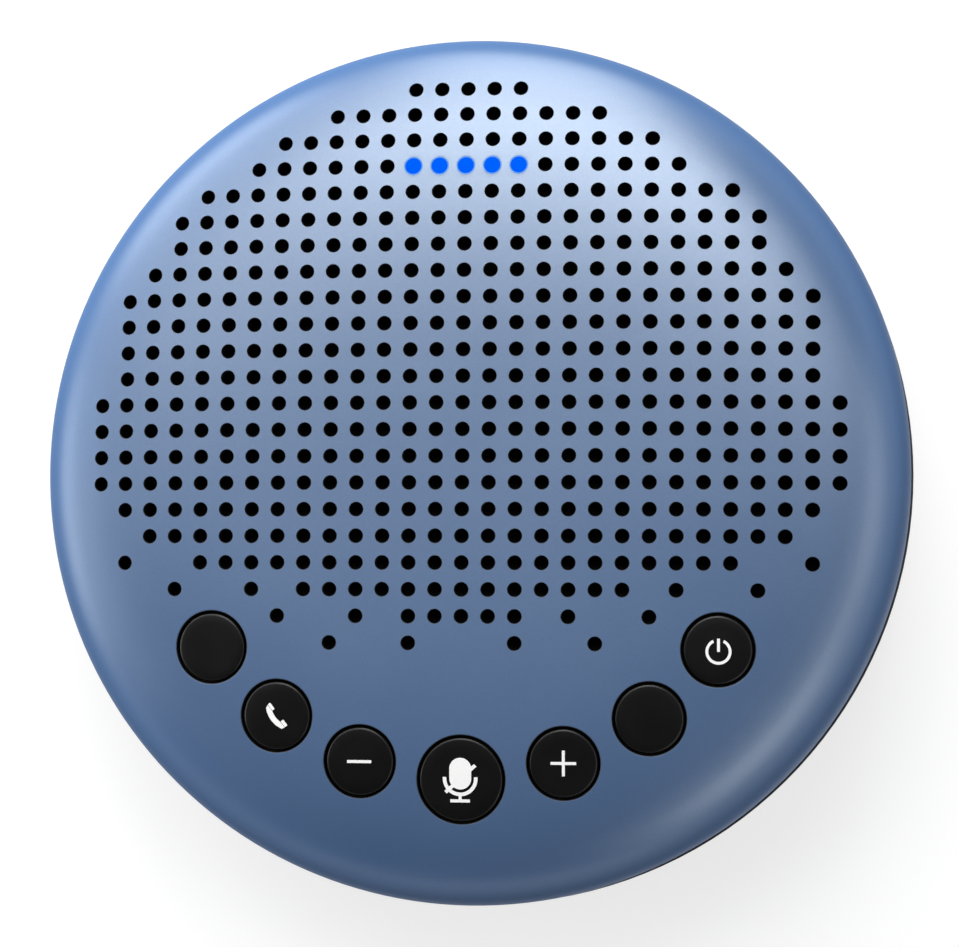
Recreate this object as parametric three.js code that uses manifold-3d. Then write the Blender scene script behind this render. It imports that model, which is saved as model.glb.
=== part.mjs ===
// Conference speakerphone: a domed puck with a perforated cover over a full-range speaker,
// an arc of seven keys at the front, five status lights and a socket at the rear.
// Millimetres, +Z up, +Y to the rear. The origin is on the table under the centre.

import * as THREE from 'three';
import { TessellateModifier } from 'three/addons/modifiers/TessellateModifier.js';
import { mergeVertices } from 'three/addons/utils/BufferGeometryUtils.js';
import Module from 'manifold-3d';

const wasm = await Module();
wasm.setup();

// ---- driving dimensions -------------------------------------------------------------

// Body
const BODY_R = 61.1; // widest radius
const HEIGHT = 36; // table to crown
const WIDE_Z = 18.4; // height of the widest section
const SEAM_Z = 13; // lower edge of the top shell
const SHELL_WALL = 2;
const UNDERSIDE_Z = 1; // flat underside, which the foot holds off the table
const TRAY_PROUD = 0.3; // edge of the bottom shell past the top shell
const BELLY_DROP = 15.1; // drop over which the bottom shell would close onto the axis
const RIM_W = 6.8; // plain rim around the perforated plate
const LIP_H = 2.8; // lip of the bottom shell, inside the top shell
const LIP_WALL = 1.6;

// Perforated field: holes on a square grid, whose middle row lies a little behind the centre.
// FIELD_ROWS gives, from the rear row to the front, how many holes lie each side of the
// middle column. Then come the single holes that thin the field out towards the keys.
const HOLE_PITCH = 3.68;
const HOLE_R = 0.975;
const FIELD_SHIFT = 0.305; // of a pitch, towards the rear
const FIELD_REAR_ROW = 14;
const FIELD_ROWS = [2, 5, 7, 8, 10, 11, 11, 12, 13, 13, 13, 13, 14, 14, 14, 14, 13, 12, 10, 6, 2];
const LONE_HOLES = [[13, -4], [8, -5], [11, -5], [4, -6], [7, -6], [2, -7], [5, -7]];
const HOLE_MARGIN = 0.6; // least plate left between a hole and a key's opening
const CLOTH_T = 0.3;

// Status lights: the middle holes of one row, each with a light guide pin
const LIGHT_ROW = 11;
const LIGHTS_EACH_SIDE = 2;
const LIGHT_HOLE_R = 1.15;
const LIGHT_PIN_R = 0.95;
const GUIDE_T = 2;
const GUIDE_W = 4.6;
const LED_SIZE = [2, 1.6, 0.8];
const LED_BOARD_W = 6;
const LED_BOARD_T = 1;

// Keys, on an arc along the front edge
const KEY_INSET = 17.8; // key centres in from the body's edge
const KEY_R = 4.75;
const MUTE_R = 5.8;
const KEY_SPACE = 1.5; // along the arc, between two keys' flanges
const KEY_TRAVEL = 0.3;
const KEY_FLANGE_W = 1.15;
const KEY_FLANGE_T = 0.7;
const KEY_CHAMFER = 0.3;
const KEY_POST_R = 1.3;
const SEAL_T = 0.5;
const SWITCH_SIDE = 4;
const SWITCH_H = 1.5;
const PLUNGER_R = 1;
const PLUNGER_PROUD = 0.45;
const PLUNGER_L = 1;
const BOARD_T = 1.2; // key board
const BOARD_MARGIN = 1.6; // key board past the switches

// Inner frame
const DECK_T = 1.6;
const BOSS_R = 3;

// Speaker, hung from the inner frame by its rim
const SPEAKER_R = 28.5;
const SPEAKER_Y = 5;
const RIM_LEDGE = 1.9; // width of the rim that rests on the inner frame
const RIM_T = 1;
const BASKET_DEPTH = 7.8; // from the rim's underside
const SEAT_T = 0.8; // basket's floor
const MOTOR_R = 13;
const STEEL_T = 1.2; // yoke and top plate; the magnet fills the depth between them
const POLE_R = 6.1;
const COIL_WALL = 0.45;
const COIL_GAP = 0.2; // between the coil and the steel each side of it
const CONE_THROW = 1.2; // each way
const ROLL_R = 2.3; // half roll of the surround
const SKIN_T = 0.5; // cone and surround
const CHAMBER_WALL = 1.6;

// Power and main board
const BATTERY = [46, 34, 6.6];
const BATTERY_ROOM = 1.1; // over the cell, for it to swell
const MAIN_BOARD_T = 1.6;
const MAIN_BOARD_Z = 4.6;
const MAIN_BOARD_HOLE_R = 33;
const SOCKET = [8.94, 7.35, 3.26]; // USB-C receptacle shell
const SOCKET_WALL = 0.3;
const POCKET_W = 13; // room for the plug's overmould
const POCKET_H = 6.6;
const POCKET_BACK = 7.3; // pocket floor in from the body's edge
const POCKET_WALL = 1.8;

// Microphones under the outermost holes of the field
const MIC_HOLES = [[13, 0], [-13, 0], [0, 13]];
const MIC_SIZE = [4, 3, 1.1];
const BOOT_R = 3;

// Foot and screws
const FOOT_W = 6;
const FOOT_EDGE = 2; // flat left outside the foot
const FOOT_SUNK = 0.8;
const SCREW_R = 1.3;
const SCREW_HEAD_R = 2.5;
const SCREW_HEAD_H = 1.8;
const SCREW_L = 11.6;
const WELL_DEPTH = 2.4;

// Clearances
const GAP = 0.3; // between pieces that slide, or that are cut to fit
const REST = 0.1; // between pieces that lie on each other, for adhesive or solder
const SLIM = 0.15; // round a screw's thread
const LIFT_GAP = 0.4; // above a key's flange
const CLOTH_GAP = 0.8; // between cloth and plate
const ROUND = 40; // sides of the body
const SMALL_ROUND = 14; // sides of small round pieces
const PLATE_FACET = 20; // longest triangle side in the domed plate
const FACET_SLACK = 0.4; // how far such flat triangles cut inside the curve

// ---- the body's curves --------------------------------------------------------------

const CAVITY_R = BODY_R - SHELL_WALL;
const PLATE_R = BODY_R - RIM_W;

const dome = (r, radius, crown) => WIDE_Z + crown * (1 - (r / radius) ** 3) ** 0.2;
const outerTop = (r) => dome(r, BODY_R, HEIGHT - WIDE_Z);
const innerTop = (r) => dome(r, CAVITY_R, HEIGHT - WIDE_Z - SHELL_WALL);
const innerTopR = (z) => {
  const rise = (z - WIDE_Z) / (HEIGHT - WIDE_Z - SHELL_WALL);
  return CAVITY_R * Math.cbrt(1 - rise ** 5);
};

const TRAY_R = BODY_R + TRAY_PROUD;
const belly = (z, radius, drop) => radius * Math.cbrt(1 - ((SEAM_Z - z) / drop) ** 3);
const outerBelly = (z) => belly(z, TRAY_R, BELLY_DROP);
const innerBelly = (z) => belly(z, TRAY_R - SHELL_WALL, BELLY_DROP - SHELL_WALL);

// ---- shaping ------------------------------------------------------------------------

const { Shape, Path, Vector2 } = THREE;

// A piece turned about Z from [radius, height] points. They run from axis to axis or close
// on themselves, bottom to top on the outside.
function turned(points, sides = SMALL_ROUND) {
  const onAxis = points[0][0] === 0;
  const loop = onAxis ? points : [...points, points[0]];
  const profile = loop.map(([r, z]) => new Vector2(r, z));
  return new THREE.LatheGeometry(profile, sides).rotateX(Math.PI / 2);
}

// A flat shape given thickness between two heights.
function slab(shape, low, high) {
  const settings = { depth: high - low, bevelEnabled: false, curveSegments: 3 };
  return new THREE.ExtrudeGeometry(shape, settings).translate(0, 0, low);
}

function ring(inner, outer, low, high, sides = SMALL_ROUND) {
  return turned([[inner, low], [outer, low], [outer, high], [inner, high]], sides);
}

function rod(radius, low, high, sides = SMALL_ROUND) {
  return turned([[0, low], [radius, low], [radius, high], [0, high]], sides);
}

function block(width, depth, low, high) {
  return new THREE.BoxGeometry(width, depth, high - low).translate(0, 0, (low + high) / 2);
}

function roundedRect(width, height, radius) {
  const [x, y] = [width / 2, height / 2];
  const shape = new Shape();
  shape.moveTo(-x + radius, -y);
  shape.lineTo(x - radius, -y);
  shape.absarc(x - radius, -y + radius, radius, -Math.PI / 2, 0);
  shape.absarc(x - radius, y - radius, radius, 0, Math.PI / 2);
  shape.absarc(-x + radius, y - radius, radius, Math.PI / 2, Math.PI);
  shape.absarc(-x + radius, -y + radius, radius, Math.PI, Math.PI * 1.5);
  return shape;
}

function roundHole(x, y, radius) {
  return new Path().absarc(x, y, radius, 0, Math.PI * 2, true);
}

// A band along the key arc between two radii, which reaches an angle each side of the front.
function keyArcBand(inner, outer, reach) {
  const front = -Math.PI / 2;
  const shape = new Shape();
  shape.absarc(0, 0, outer, front - reach, front + reach, false);
  shape.absarc(0, 0, inner, front + reach, front - reach, true);
  return shape;
}

// Solids for cutting and joining
function solid(geometry) {
  const bare = geometry.clone();
  bare.deleteAttribute('normal');
  bare.deleteAttribute('uv');
  const merged = mergeVertices(bare, 1e-4);
  const vertProperties = merged.attributes.position.array;
  const triVerts = new Uint32Array(merged.index.array);
  return new wasm.Manifold(new wasm.Mesh({ numProp: 3, vertProperties, triVerts }));
}

function geometryOf(body) {
  const mesh = body.getMesh();
  const geometry = new THREE.BufferGeometry();
  const positions = new Float32Array(mesh.vertProperties);
  geometry.setAttribute('position', new THREE.BufferAttribute(positions, 3));
  geometry.setIndex(new THREE.BufferAttribute(new Uint32Array(mesh.triVerts), 1));
  return geometry;
}

function joined(...geometries) {
  return geometryOf(geometries.map(solid).reduce((whole, next) => whole.add(next)));
}

function cut(geometry, tools) {
  return geometryOf(solid(geometry).subtract(wasm.Manifold.union(tools.map(solid))));
}

// Bends a flat-made piece to the dome: lift(r, z) gives each corner its new height. Long
// triangles are split first, so that they follow the curve.
function domed(geometry, lift, longest) {
  const flat = geometry.index ? geometry.toNonIndexed() : geometry;
  const bent = new TessellateModifier(longest, 12).modify(flat);
  const corner = bent.attributes.position;
  for (let i = 0; i < corner.count; i += 1) {
    const r = Math.hypot(corner.getX(i), corner.getY(i));
    corner.setZ(i, lift(r, corner.getZ(i)));
  }
  return bent;
}

// ---- finishes -----------------------------------------------------------------------

const finish = (color, roughness, metalness = 0) => ({ color, roughness, metalness });
const SATIN_BLUE = finish(0x8fa5c8, 0.38, 0.85);
const BLACK_ABS = finish(0x1a1b1d, 0.5);
const KEY_BLACK = finish(0x18181a, 0.42);
const BLACK_CLOTH = finish(0x0b0b0c, 0.95);
const BLACK_RUBBER = finish(0x151515, 0.85);
const GREY_SILICONE = finish(0x55585c, 0.7);
const GREEN_BOARD = finish(0x1d4a33, 0.5);
const CLEAR_ACRYLIC = finish(0xcfe2ff, 0.15);
const PALE_PLASTIC = finish(0xd9d7cf, 0.5);
const WHITE_RESIN = finish(0xf1eeda, 0.4);
const STAMPED_STEEL = finish(0x8b8f94, 0.4, 0.9);
const FERRITE = finish(0x36383b, 0.7, 0.2);
const COATED_PAPER = finish(0x202224, 0.8);
const COPPER = finish(0xb3703c, 0.35, 0.9);
const AMBER_CLOTH = finish(0xb08a45, 0.85);
const NICKEL = finish(0xc3c5c6, 0.25, 1);
const CELL_FOIL = finish(0x9ea3a8, 0.35, 0.7);

const speakerphone = new THREE.Group();
speakerphone.name = 'conference_speakerphone';

function piece(name, geometry, look, place = [0, 0, 0], parent = speakerphone) {
  const mesh = new THREE.Mesh(geometry, new THREE.MeshStandardMaterial(look));
  mesh.name = name;
  mesh.position.set(...place);
  parent.add(mesh);
  return mesh;
}

// ---- places that several pieces share ---------------------------------------------------

const KEY_ARC_R = BODY_R - KEY_INSET;
const keyPitch = 2 * (KEY_R + KEY_FLANGE_W) + KEY_SPACE;
const mutePitch = MUTE_R + KEY_R + 2 * KEY_FLANGE_W + KEY_SPACE;
const smallSteps = [mutePitch, mutePitch + keyPitch, mutePitch + 2 * keyPitch];
const KEY_NAMES = ['function', 'call', 'volume_down', 'mute', 'volume_up', 'wireless', 'power'];
const keySteps = [...smallSteps.map((step) => -step).reverse(), 0, ...smallSteps];
const keys = KEY_NAMES.map((name, i) => {
  const angle = -Math.PI / 2 + keySteps[i] / KEY_ARC_R;
  const capR = name === 'mute' ? MUTE_R : KEY_R;
  return { name, capR, x: KEY_ARC_R * Math.cos(angle), y: KEY_ARC_R * Math.sin(angle) };
});

// The stack under the keys, from the plate down to the inner frame
const FLANGE_TOP_Z = innerTop(KEY_ARC_R + MUTE_R + KEY_FLANGE_W) - LIFT_GAP;
const FLANGE_Z = FLANGE_TOP_Z - KEY_FLANGE_T;
const SEAL_TOP_Z = FLANGE_Z - KEY_TRAVEL - 2 * REST;
const SWITCH_TOP_Z = SEAL_TOP_Z - SEAL_T - GAP;
const KEY_BOARD_TOP_Z = SWITCH_TOP_Z - SWITCH_H;
const DECK_TOP_Z = KEY_BOARD_TOP_Z - BOARD_T - REST;
const DECK_Z = DECK_TOP_Z - DECK_T;

// The half angle that the keys take up, with a margin past the last key's flange
const lastKeyStep = smallSteps[smallSteps.length - 1];
const keyReach = (margin) => (lastKeyStep + KEY_R + margin) / KEY_ARC_R;

const FLOOR_Z = UNDERSIDE_Z + SHELL_WALL;
const FLAT_R = outerBelly(UNDERSIDE_Z);
const FOOT_OUT_R = FLAT_R - FOOT_EDGE;
const FOOT_IN_R = FOOT_OUT_R - FOOT_W;
const WELL_R = SCREW_HEAD_R + 0.4;
const SCREW_CIRCLE_R = FOOT_IN_R - WELL_R - 2 * GAP;
const screwPlaces = [45, 135, 225, 315].map((degrees) => {
  const angle = THREE.MathUtils.degToRad(degrees);
  return [SCREW_CIRCLE_R * Math.cos(angle), SCREW_CIRCLE_R * Math.sin(angle)];
});
const HEAD_TOP_Z = UNDERSIDE_Z + WELL_DEPTH;
const BOARD_TOP_Z = MAIN_BOARD_Z + MAIN_BOARD_T;
const BOARD_EDGE_R = innerBelly(MAIN_BOARD_Z) - 3 * GAP;
const LOW_BOSS_TOP_Z = BOARD_TOP_Z + 0.7;
const SOCKET_Z = BOARD_TOP_Z + REST + SOCKET[2] / 2;
const BATTERY_Z = FLOOR_Z + GAP;
const CHAMBER_Z = BATTERY_Z + BATTERY[2] + BATTERY_ROOM;

// The height to which a piece may reach under the cloth
const underCloth = (r) => innerTop(r) - CLOTH_GAP - CLOTH_T - GAP - FACET_SLACK;

const holePlace = (i, j) => [i * HOLE_PITCH, (j + FIELD_SHIFT) * HOLE_PITCH];
const lights = [];
for (let i = -LIGHTS_EACH_SIDE; i <= LIGHTS_EACH_SIDE; i += 1) {
  lights.push(holePlace(i, LIGHT_ROW));
}
const LIGHTS_W = 2 * LIGHTS_EACH_SIDE * HOLE_PITCH;
const LIGHTS_Y = lights[0][1];

// Every hole of the field, apart from the lights and any that the rim or a key would cut
function fieldHoles() {
  const places = [];
  FIELD_ROWS.forEach((half, row) => {
    const j = FIELD_REAR_ROW - row;
    for (let i = -half; i <= half; i += 1) {
      if (j !== LIGHT_ROW || Math.abs(i) > LIGHTS_EACH_SIDE) {
        places.push(holePlace(i, j));
      }
    }
  });
  LONE_HOLES.forEach(([i, j]) => places.push(holePlace(i, j), holePlace(-i, j)));
  const clearOf = (x, y, key) => Math.hypot(x - key.x, y - key.y) > key.capR + HOLE_R + HOLE_MARGIN;
  return places.filter(([x, y]) => {
    return Math.hypot(x, y) + HOLE_R <= PLATE_R && keys.every((key) => clearOf(x, y, key));
  });
}

// ---- casing -------------------------------------------------------------------------

// A four-sided hole of the same area as the round one
function fieldCutter([x, y]) {
  const corner = HOLE_R * Math.sqrt(Math.PI / 2);
  return rod(corner, WIDE_Z, HEIGHT, 4).rotateZ(Math.PI / 4).translate(x, y, 0);
}

function topShell() {
  const plateTop = outerTop(PLATE_R);
  const plateBottom = innerTop(PLATE_R);
  const rim = [0.58, 0.25, 0.06].map((share) => BODY_R - share * RIM_W);
  const cavity = [0.38, 0.08].map((share) => CAVITY_R - share * (CAVITY_R - PLATE_R));
  const blank = turned([
    [0, plateBottom],
    [PLATE_R, plateBottom],
    ...cavity.map((r) => [r, innerTop(r)]),
    [CAVITY_R, WIDE_Z],
    [CAVITY_R, SEAM_Z],
    [BODY_R, SEAM_Z],
    [BODY_R, WIDE_Z],
    ...rim.map((r) => [r, outerTop(r)]).reverse(),
    [PLATE_R, plateTop],
    [0, plateTop],
  ], ROUND);
  const keyHoles = keys.map((key) => {
    return rod(key.capR + GAP, WIDE_Z, HEIGHT).translate(key.x, key.y, 0);
  });
  const lightHoles = lights.map(([x, y]) => rod(LIGHT_HOLE_R, WIDE_Z, HEIGHT, 8).translate(x, y, 0));
  const holes = fieldHoles().map(fieldCutter);
  const middle = (plateTop + plateBottom) / 2;
  const lift = (r, z) => {
    if (r > PLATE_R || z < plateBottom - REST) {
      return z;
    }
    return z > middle ? outerTop(r) : innerTop(r);
  };
  return domed(cut(blank, [...holes, ...keyHoles, ...lightHoles]), lift, PLATE_FACET);
}

function grilleCloth() {
  const disc = rod(PLATE_R, 0, CLOTH_T, ROUND);
  const lightSlot = roundedRect(LIGHTS_W + 2 * LIGHT_HOLE_R + GAP, 2 * LIGHT_HOLE_R + GAP, 1);
  const flange = MUTE_R + KEY_FLANGE_W + LIFT_GAP;
  const keySlot = keyArcBand(KEY_ARC_R - flange, BODY_R, keyReach(KEY_FLANGE_W + LIFT_GAP));
  const sheet = cut(disc, [
    slab(lightSlot, -1, 1).translate(0, LIGHTS_Y, 0),
    slab(keySlot, -1, 1),
  ]);
  return domed(sheet, (r, z) => innerTop(r) - CLOTH_GAP - CLOTH_T + z, PLATE_FACET);
}

function bottomShell() {
  const wall = [8, 4, 2];
  const inside = [9, 5];
  const seam = SEAM_Z - GAP;
  const lipOut = CAVITY_R - GAP;
  const outline = [
    [0, UNDERSIDE_Z],
    [FOOT_IN_R - GAP, UNDERSIDE_Z],
    [FOOT_IN_R - GAP, UNDERSIDE_Z + FOOT_SUNK],
    [FOOT_OUT_R + GAP, UNDERSIDE_Z + FOOT_SUNK],
    [FOOT_OUT_R + GAP, UNDERSIDE_Z],
    [FLAT_R, UNDERSIDE_Z],
    ...wall.map((z) => [outerBelly(z), z]).reverse(),
    [outerBelly(seam), seam],
  ];
  const lining = [
    [lipOut, seam],
    [lipOut, SEAM_Z + LIP_H],
    [lipOut - LIP_WALL, SEAM_Z + LIP_H],
    [lipOut - LIP_WALL, SEAM_Z],
    ...inside.map((z) => [innerBelly(z), z]),
    [innerBelly(FLOOR_Z), FLOOR_Z],
    [0, FLOOR_Z],
  ];
  const filled = solid(turned([...outline, [0, seam]], ROUND));
  let shell = solid(turned([...outline, ...lining], ROUND));

  // Screw bosses and the pads that the main board lies on
  screwPlaces.forEach(([x, y]) => {
    shell = shell.add(solid(rod(WELL_R + 1.3, FLOOR_Z - 1, HEAD_TOP_Z + 1).translate(x, y, 0)));
    shell = shell.add(solid(rod(BOSS_R - 0.1, FLOOR_Z - 1, LOW_BOSS_TOP_Z).translate(x, y, 0)));
    const padShare = (FOOT_OUT_R - 1) / SCREW_CIRCLE_R;
    const pad = rod(2, FLOOR_Z - 1, MAIN_BOARD_Z - REST, 12);
    shell = shell.add(solid(pad.translate(x * padShare, y * padShare, 0)));
  });
  screwPlaces.forEach(([x, y]) => {
    shell = shell.subtract(solid(rod(WELL_R, -1, HEAD_TOP_Z).translate(x, y, 0)));
    shell = shell.subtract(solid(rod(SCREW_R + SLIM, 0, LOW_BOSS_TOP_Z + 1).translate(x, y, 0)));
  });

  // The recess that a plug's overmould enters, with a slot for the socket in its floor
  const floorY = BODY_R - POCKET_BACK;
  const depth = TRAY_R - floorY + POCKET_WALL;
  const housing = block(POCKET_W + 2 * POCKET_WALL, depth, FLOOR_Z - 1, SEAM_Z - 2 * GAP);
  const recess = slab(roundedRect(POCKET_W, POCKET_H, 1.6), 0, POCKET_BACK + 5);
  const slot = slab(roundedRect(SOCKET[0] + 2 * GAP, SOCKET[2] + 2 * GAP, 1.5), -9, 9);
  recess.rotateX(-Math.PI / 2).translate(0, floorY, SOCKET_Z);
  slot.rotateX(-Math.PI / 2).translate(0, floorY, SOCKET_Z);
  housing.translate(0, floorY - POCKET_WALL + depth / 2, 0);
  shell = shell.add(solid(housing).intersect(filled));
  return geometryOf(shell.subtract(solid(recess)).subtract(solid(slot)));
}

function screw() {
  return turned([
    [0, 0.9],
    [1.1, 0],
    [SCREW_HEAD_R, 0],
    [SCREW_HEAD_R, SCREW_HEAD_H],
    [SCREW_R, SCREW_HEAD_H],
    [SCREW_R, SCREW_HEAD_H + SCREW_L - 1],
    [0, SCREW_HEAD_H + SCREW_L],
  ], 12).translate(0, 0, HEAD_TOP_Z - SCREW_HEAD_H - REST);
}

piece('top_shell', topShell(), SATIN_BLUE);
piece('grille_cloth', grilleCloth(), BLACK_CLOTH);
piece('bottom_shell', bottomShell(), BLACK_ABS);
const footTop = UNDERSIDE_Z + FOOT_SUNK - REST;
piece('foot_ring', ring(FOOT_IN_R, FOOT_OUT_R, 0, footTop, ROUND), BLACK_RUBBER);
screwPlaces.forEach(([x, y], i) => piece(`case_screw_${i + 1}`, screw(), NICKEL, [x, y, 0]));

// ---- inner frame --------------------------------------------------------------------

const BASKET_R = SPEAKER_R - RIM_LEDGE;
const CABLE_Y = -(KEY_ARC_R - MUTE_R - 1.6);
const CABLE_W = 10;
const CABLE_T = 0.3;

function innerFrame() {
  const deck = rod(innerTopR(DECK_TOP_Z) - 2 * GAP, DECK_Z, DECK_TOP_Z, ROUND);
  const bosses = screwPlaces.map(([x, y]) => {
    return rod(BOSS_R, LOW_BOSS_TOP_Z + GAP, DECK_Z + 1, 16).translate(x, y, 0);
  });
  const pilots = screwPlaces.map(([x, y]) => {
    return rod(SCREW_R + SLIM, 0, HEAD_TOP_Z + SCREW_L + GAP, 12).translate(x, y, 0);
  });
  const speakerHole = rod(BASKET_R + GAP, 0, HEIGHT, 32).translate(0, SPEAKER_Y, 0);
  const cableSlot = block(CABLE_W + 2, CABLE_T + 2, 0, HEIGHT).translate(0, CABLE_Y, 0);
  return cut(joined(deck, ...bosses), [...pilots, speakerHole, cableSlot]);
}

piece('inner_frame', innerFrame(), BLACK_ABS);

// ---- keys ---------------------------------------------------------------------------

// The cap and its flange are one moulding. Its top follows the dome.
function keyCap(key) {
  const flangeR = key.capR + KEY_FLANGE_W;
  const top = outerTop(KEY_ARC_R);
  const edge = top - KEY_CHAMFER;
  const cap = turned([
    [0, SWITCH_TOP_Z + PLUNGER_PROUD + REST / 2],
    [KEY_POST_R, SWITCH_TOP_Z + PLUNGER_PROUD + REST / 2],
    [KEY_POST_R, FLANGE_Z],
    [flangeR, FLANGE_Z],
    [flangeR, FLANGE_TOP_Z],
    [key.capR, FLANGE_TOP_Z],
    [key.capR, edge],
    [key.capR - KEY_CHAMFER, top],
    [0, top],
  ]).translate(key.x, key.y, 0);
  const lift = (r, z) => (z < edge - REST ? z : z + outerTop(r) - top);
  return domed(cap, lift, 2 * flangeR);
}

function keySwitch() {
  const body = block(SWITCH_SIDE, SWITCH_SIDE, KEY_BOARD_TOP_Z + REST / 2, SWITCH_TOP_Z);
  const well = SWITCH_TOP_Z + PLUNGER_PROUD - PLUNGER_L - KEY_TRAVEL - REST;
  return cut(body, [rod(PLUNGER_R + SLIM, well, HEIGHT, 12)]);
}

function plunger() {
  const top = SWITCH_TOP_Z + PLUNGER_PROUD;
  return rod(PLUNGER_R, top - PLUNGER_L, top, 12);
}

keys.forEach((key) => {
  const place = [key.x, key.y, 0];
  piece(`${key.name}_key`, keyCap(key), KEY_BLACK);
  piece(`${key.name}_switch`, keySwitch(), STAMPED_STEEL, place);
  piece(`${key.name}_plunger`, plunger(), PALE_PLASTIC, place);
});

// A silicone sheet under the key flanges, which keeps spills off the switches
function keySeal() {
  const half = MUTE_R + KEY_FLANGE_W / 2;
  const shape = keyArcBand(KEY_ARC_R - half, KEY_ARC_R + half, keyReach(KEY_FLANGE_W));
  shape.holes = keys.map((key) => roundHole(key.x, key.y, KEY_POST_R + GAP));
  return slab(shape, SEAL_TOP_Z - SEAL_T, SEAL_TOP_Z);
}

function keyBoard() {
  const half = SWITCH_SIDE / 2 + BOARD_MARGIN;
  const shape = keyArcBand(KEY_ARC_R - half, KEY_ARC_R + half, keyReach(0));
  return slab(shape, KEY_BOARD_TOP_Z - BOARD_T, KEY_BOARD_TOP_Z);
}

// The flat cable lies on both boards and runs straight down between them.
function keyFlatCable() {
  const high = KEY_BOARD_TOP_Z + REST;
  const low = BOARD_TOP_Z + REST;
  const onKeyBoard = KEY_ARC_R - SWITCH_SIDE / 2 - GAP;
  const outline = [
    [-CABLE_Y - CABLE_T, low],
    [-CABLE_Y + 4, low],
    [-CABLE_Y + 4, low + CABLE_T],
    [-CABLE_Y, low + CABLE_T],
    [-CABLE_Y, high],
    [onKeyBoard, high],
    [onKeyBoard, high + CABLE_T],
    [-CABLE_Y - CABLE_T, high + CABLE_T],
  ];
  const strip = slab(new Shape(outline.map(([x, y]) => new Vector2(x, y))), 0, CABLE_W);
  return strip.rotateX(Math.PI / 2).rotateZ(-Math.PI / 2).translate(CABLE_W / 2, 0, 0);
}

piece('key_seal', keySeal(), GREY_SILICONE);
piece('key_board', keyBoard(), GREEN_BOARD);
piece('key_flat_cable', keyFlatCable(), PALE_PLASTIC);

// ---- status lights ------------------------------------------------------------------

const LED_BOARD_Z = DECK_TOP_Z + REST;
const LED_Z = LED_BOARD_Z + LED_BOARD_T + REST / 2;
const GUIDE_Z = LED_Z + LED_SIZE[2] + GAP;

function lightGuide() {
  const bar = block(LIGHTS_W + GUIDE_W, GUIDE_W, GUIDE_Z, GUIDE_Z + GUIDE_T);
  const pins = lights.map(([x, y]) => {
    return rod(LIGHT_PIN_R, GUIDE_Z + 1, outerTop(Math.hypot(x, y)) - REST, 8).translate(x, y, 0);
  });
  return joined(bar.translate(0, LIGHTS_Y, 0), ...pins);
}

piece('light_guide', lightGuide(), CLEAR_ACRYLIC);
const ledBoard = block(LIGHTS_W + LED_BOARD_W, LED_BOARD_W, LED_BOARD_Z, LED_BOARD_Z + LED_BOARD_T);
piece('led_board', ledBoard, GREEN_BOARD, [0, LIGHTS_Y, 0]);
lights.forEach(([x, y], i) => {
  const led = block(LED_SIZE[0], LED_SIZE[1], LED_Z, LED_Z + LED_SIZE[2]);
  piece(`led_${i + 1}`, led, WHITE_RESIN, [x, y, 0]);
});

// ---- microphones --------------------------------------------------------------------

MIC_HOLES.forEach(([i, j], n) => {
  const [x, y] = holePlace(i, j);
  const low = DECK_TOP_Z + REST;
  const top = low + MIC_SIZE[2];
  const bootTop = underCloth(Math.hypot(x, y) + BOOT_R);
  piece(`microphone_${n + 1}`, block(MIC_SIZE[0], MIC_SIZE[1], low, top), NICKEL, [x, y, 0]);
  const boot = ring(HOLE_R, BOOT_R, top + REST, bootTop, 12);
  piece(`microphone_boot_${n + 1}`, boot, BLACK_RUBBER, [x, y, 0]);
});

// ---- speaker ------------------------------------------------------------------------

// Heights in this group are from the underside of the speaker's rim.
const speaker = new THREE.Group();
speaker.position.set(0, SPEAKER_Y, DECK_TOP_Z + REST);
speakerphone.add(speaker);

const COIL_IN_R = POLE_R + COIL_GAP;
const COIL_R = COIL_IN_R + COIL_WALL;
const SEAT_Z = -BASKET_DEPTH;
const TOP_PLATE_Z = SEAT_Z - REST - STEEL_T;
const YOKE_Z = CHAMBER_Z + CHAMBER_WALL + GAP - speaker.position.z;
const MAGNET_Z = YOKE_Z + STEEL_T + REST;
const SPIDER_Z = SEAT_Z + SEAT_T + REST;
const SPIDER_R = MOTOR_R + 3.2;
const NECK_Z = SPIDER_Z + 2;
const SURROUND_Z = RIM_T + REST;
const ROLL_CENTRE_R = BASKET_R - 1.35 - ROLL_R;
const CONE_R = ROLL_CENTRE_R - ROLL_R - SKIN_T / 2;
const CONE_LIP = 1.4;

function basket() {
  const wall = 1.2;
  const pot = turned([
    [COIL_R + 1.8, SEAT_Z],
    [MOTOR_R + 4.5, SEAT_Z],
    [BASKET_R, -2],
    [BASKET_R, 0],
    [SPEAKER_R, 0],
    [SPEAKER_R, RIM_T],
    [BASKET_R - wall, RIM_T],
    [BASKET_R - wall, -1.6],
    [MOTOR_R + 3.9, SEAT_Z + SEAT_T],
    [COIL_R + 1.8, SEAT_Z + SEAT_T],
  ], 24);
  const window = [0, 1, 2, 3].map((turn) => {
    const opening = block(9, 10, SEAT_Z + SEAT_T + REST, -2.2).translate(0, BASKET_R - 4, 0);
    return opening.rotateZ((turn + 0.5) * (Math.PI / 2));
  });
  return cut(pot, window);
}

function surround() {
  const arc = (radius, from, to) => [0, 1, 2, 3].map((step) => {
    const angle = THREE.MathUtils.degToRad(from + (to - from) * (step / 3));
    return [ROLL_CENTRE_R + radius * Math.cos(angle), SURROUND_Z + radius * Math.sin(angle)];
  });
  return turned([
    [CONE_R - CONE_LIP, SURROUND_Z],
    ...arc(ROLL_R - SKIN_T, 180, 0),
    [SPEAKER_R - SKIN_T, SURROUND_Z],
    [SPEAKER_R - SKIN_T, SURROUND_Z + SKIN_T],
    ...arc(ROLL_R, 12, 168),
    [CONE_R - CONE_LIP, SURROUND_Z + SKIN_T],
  ], 24);
}

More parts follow.
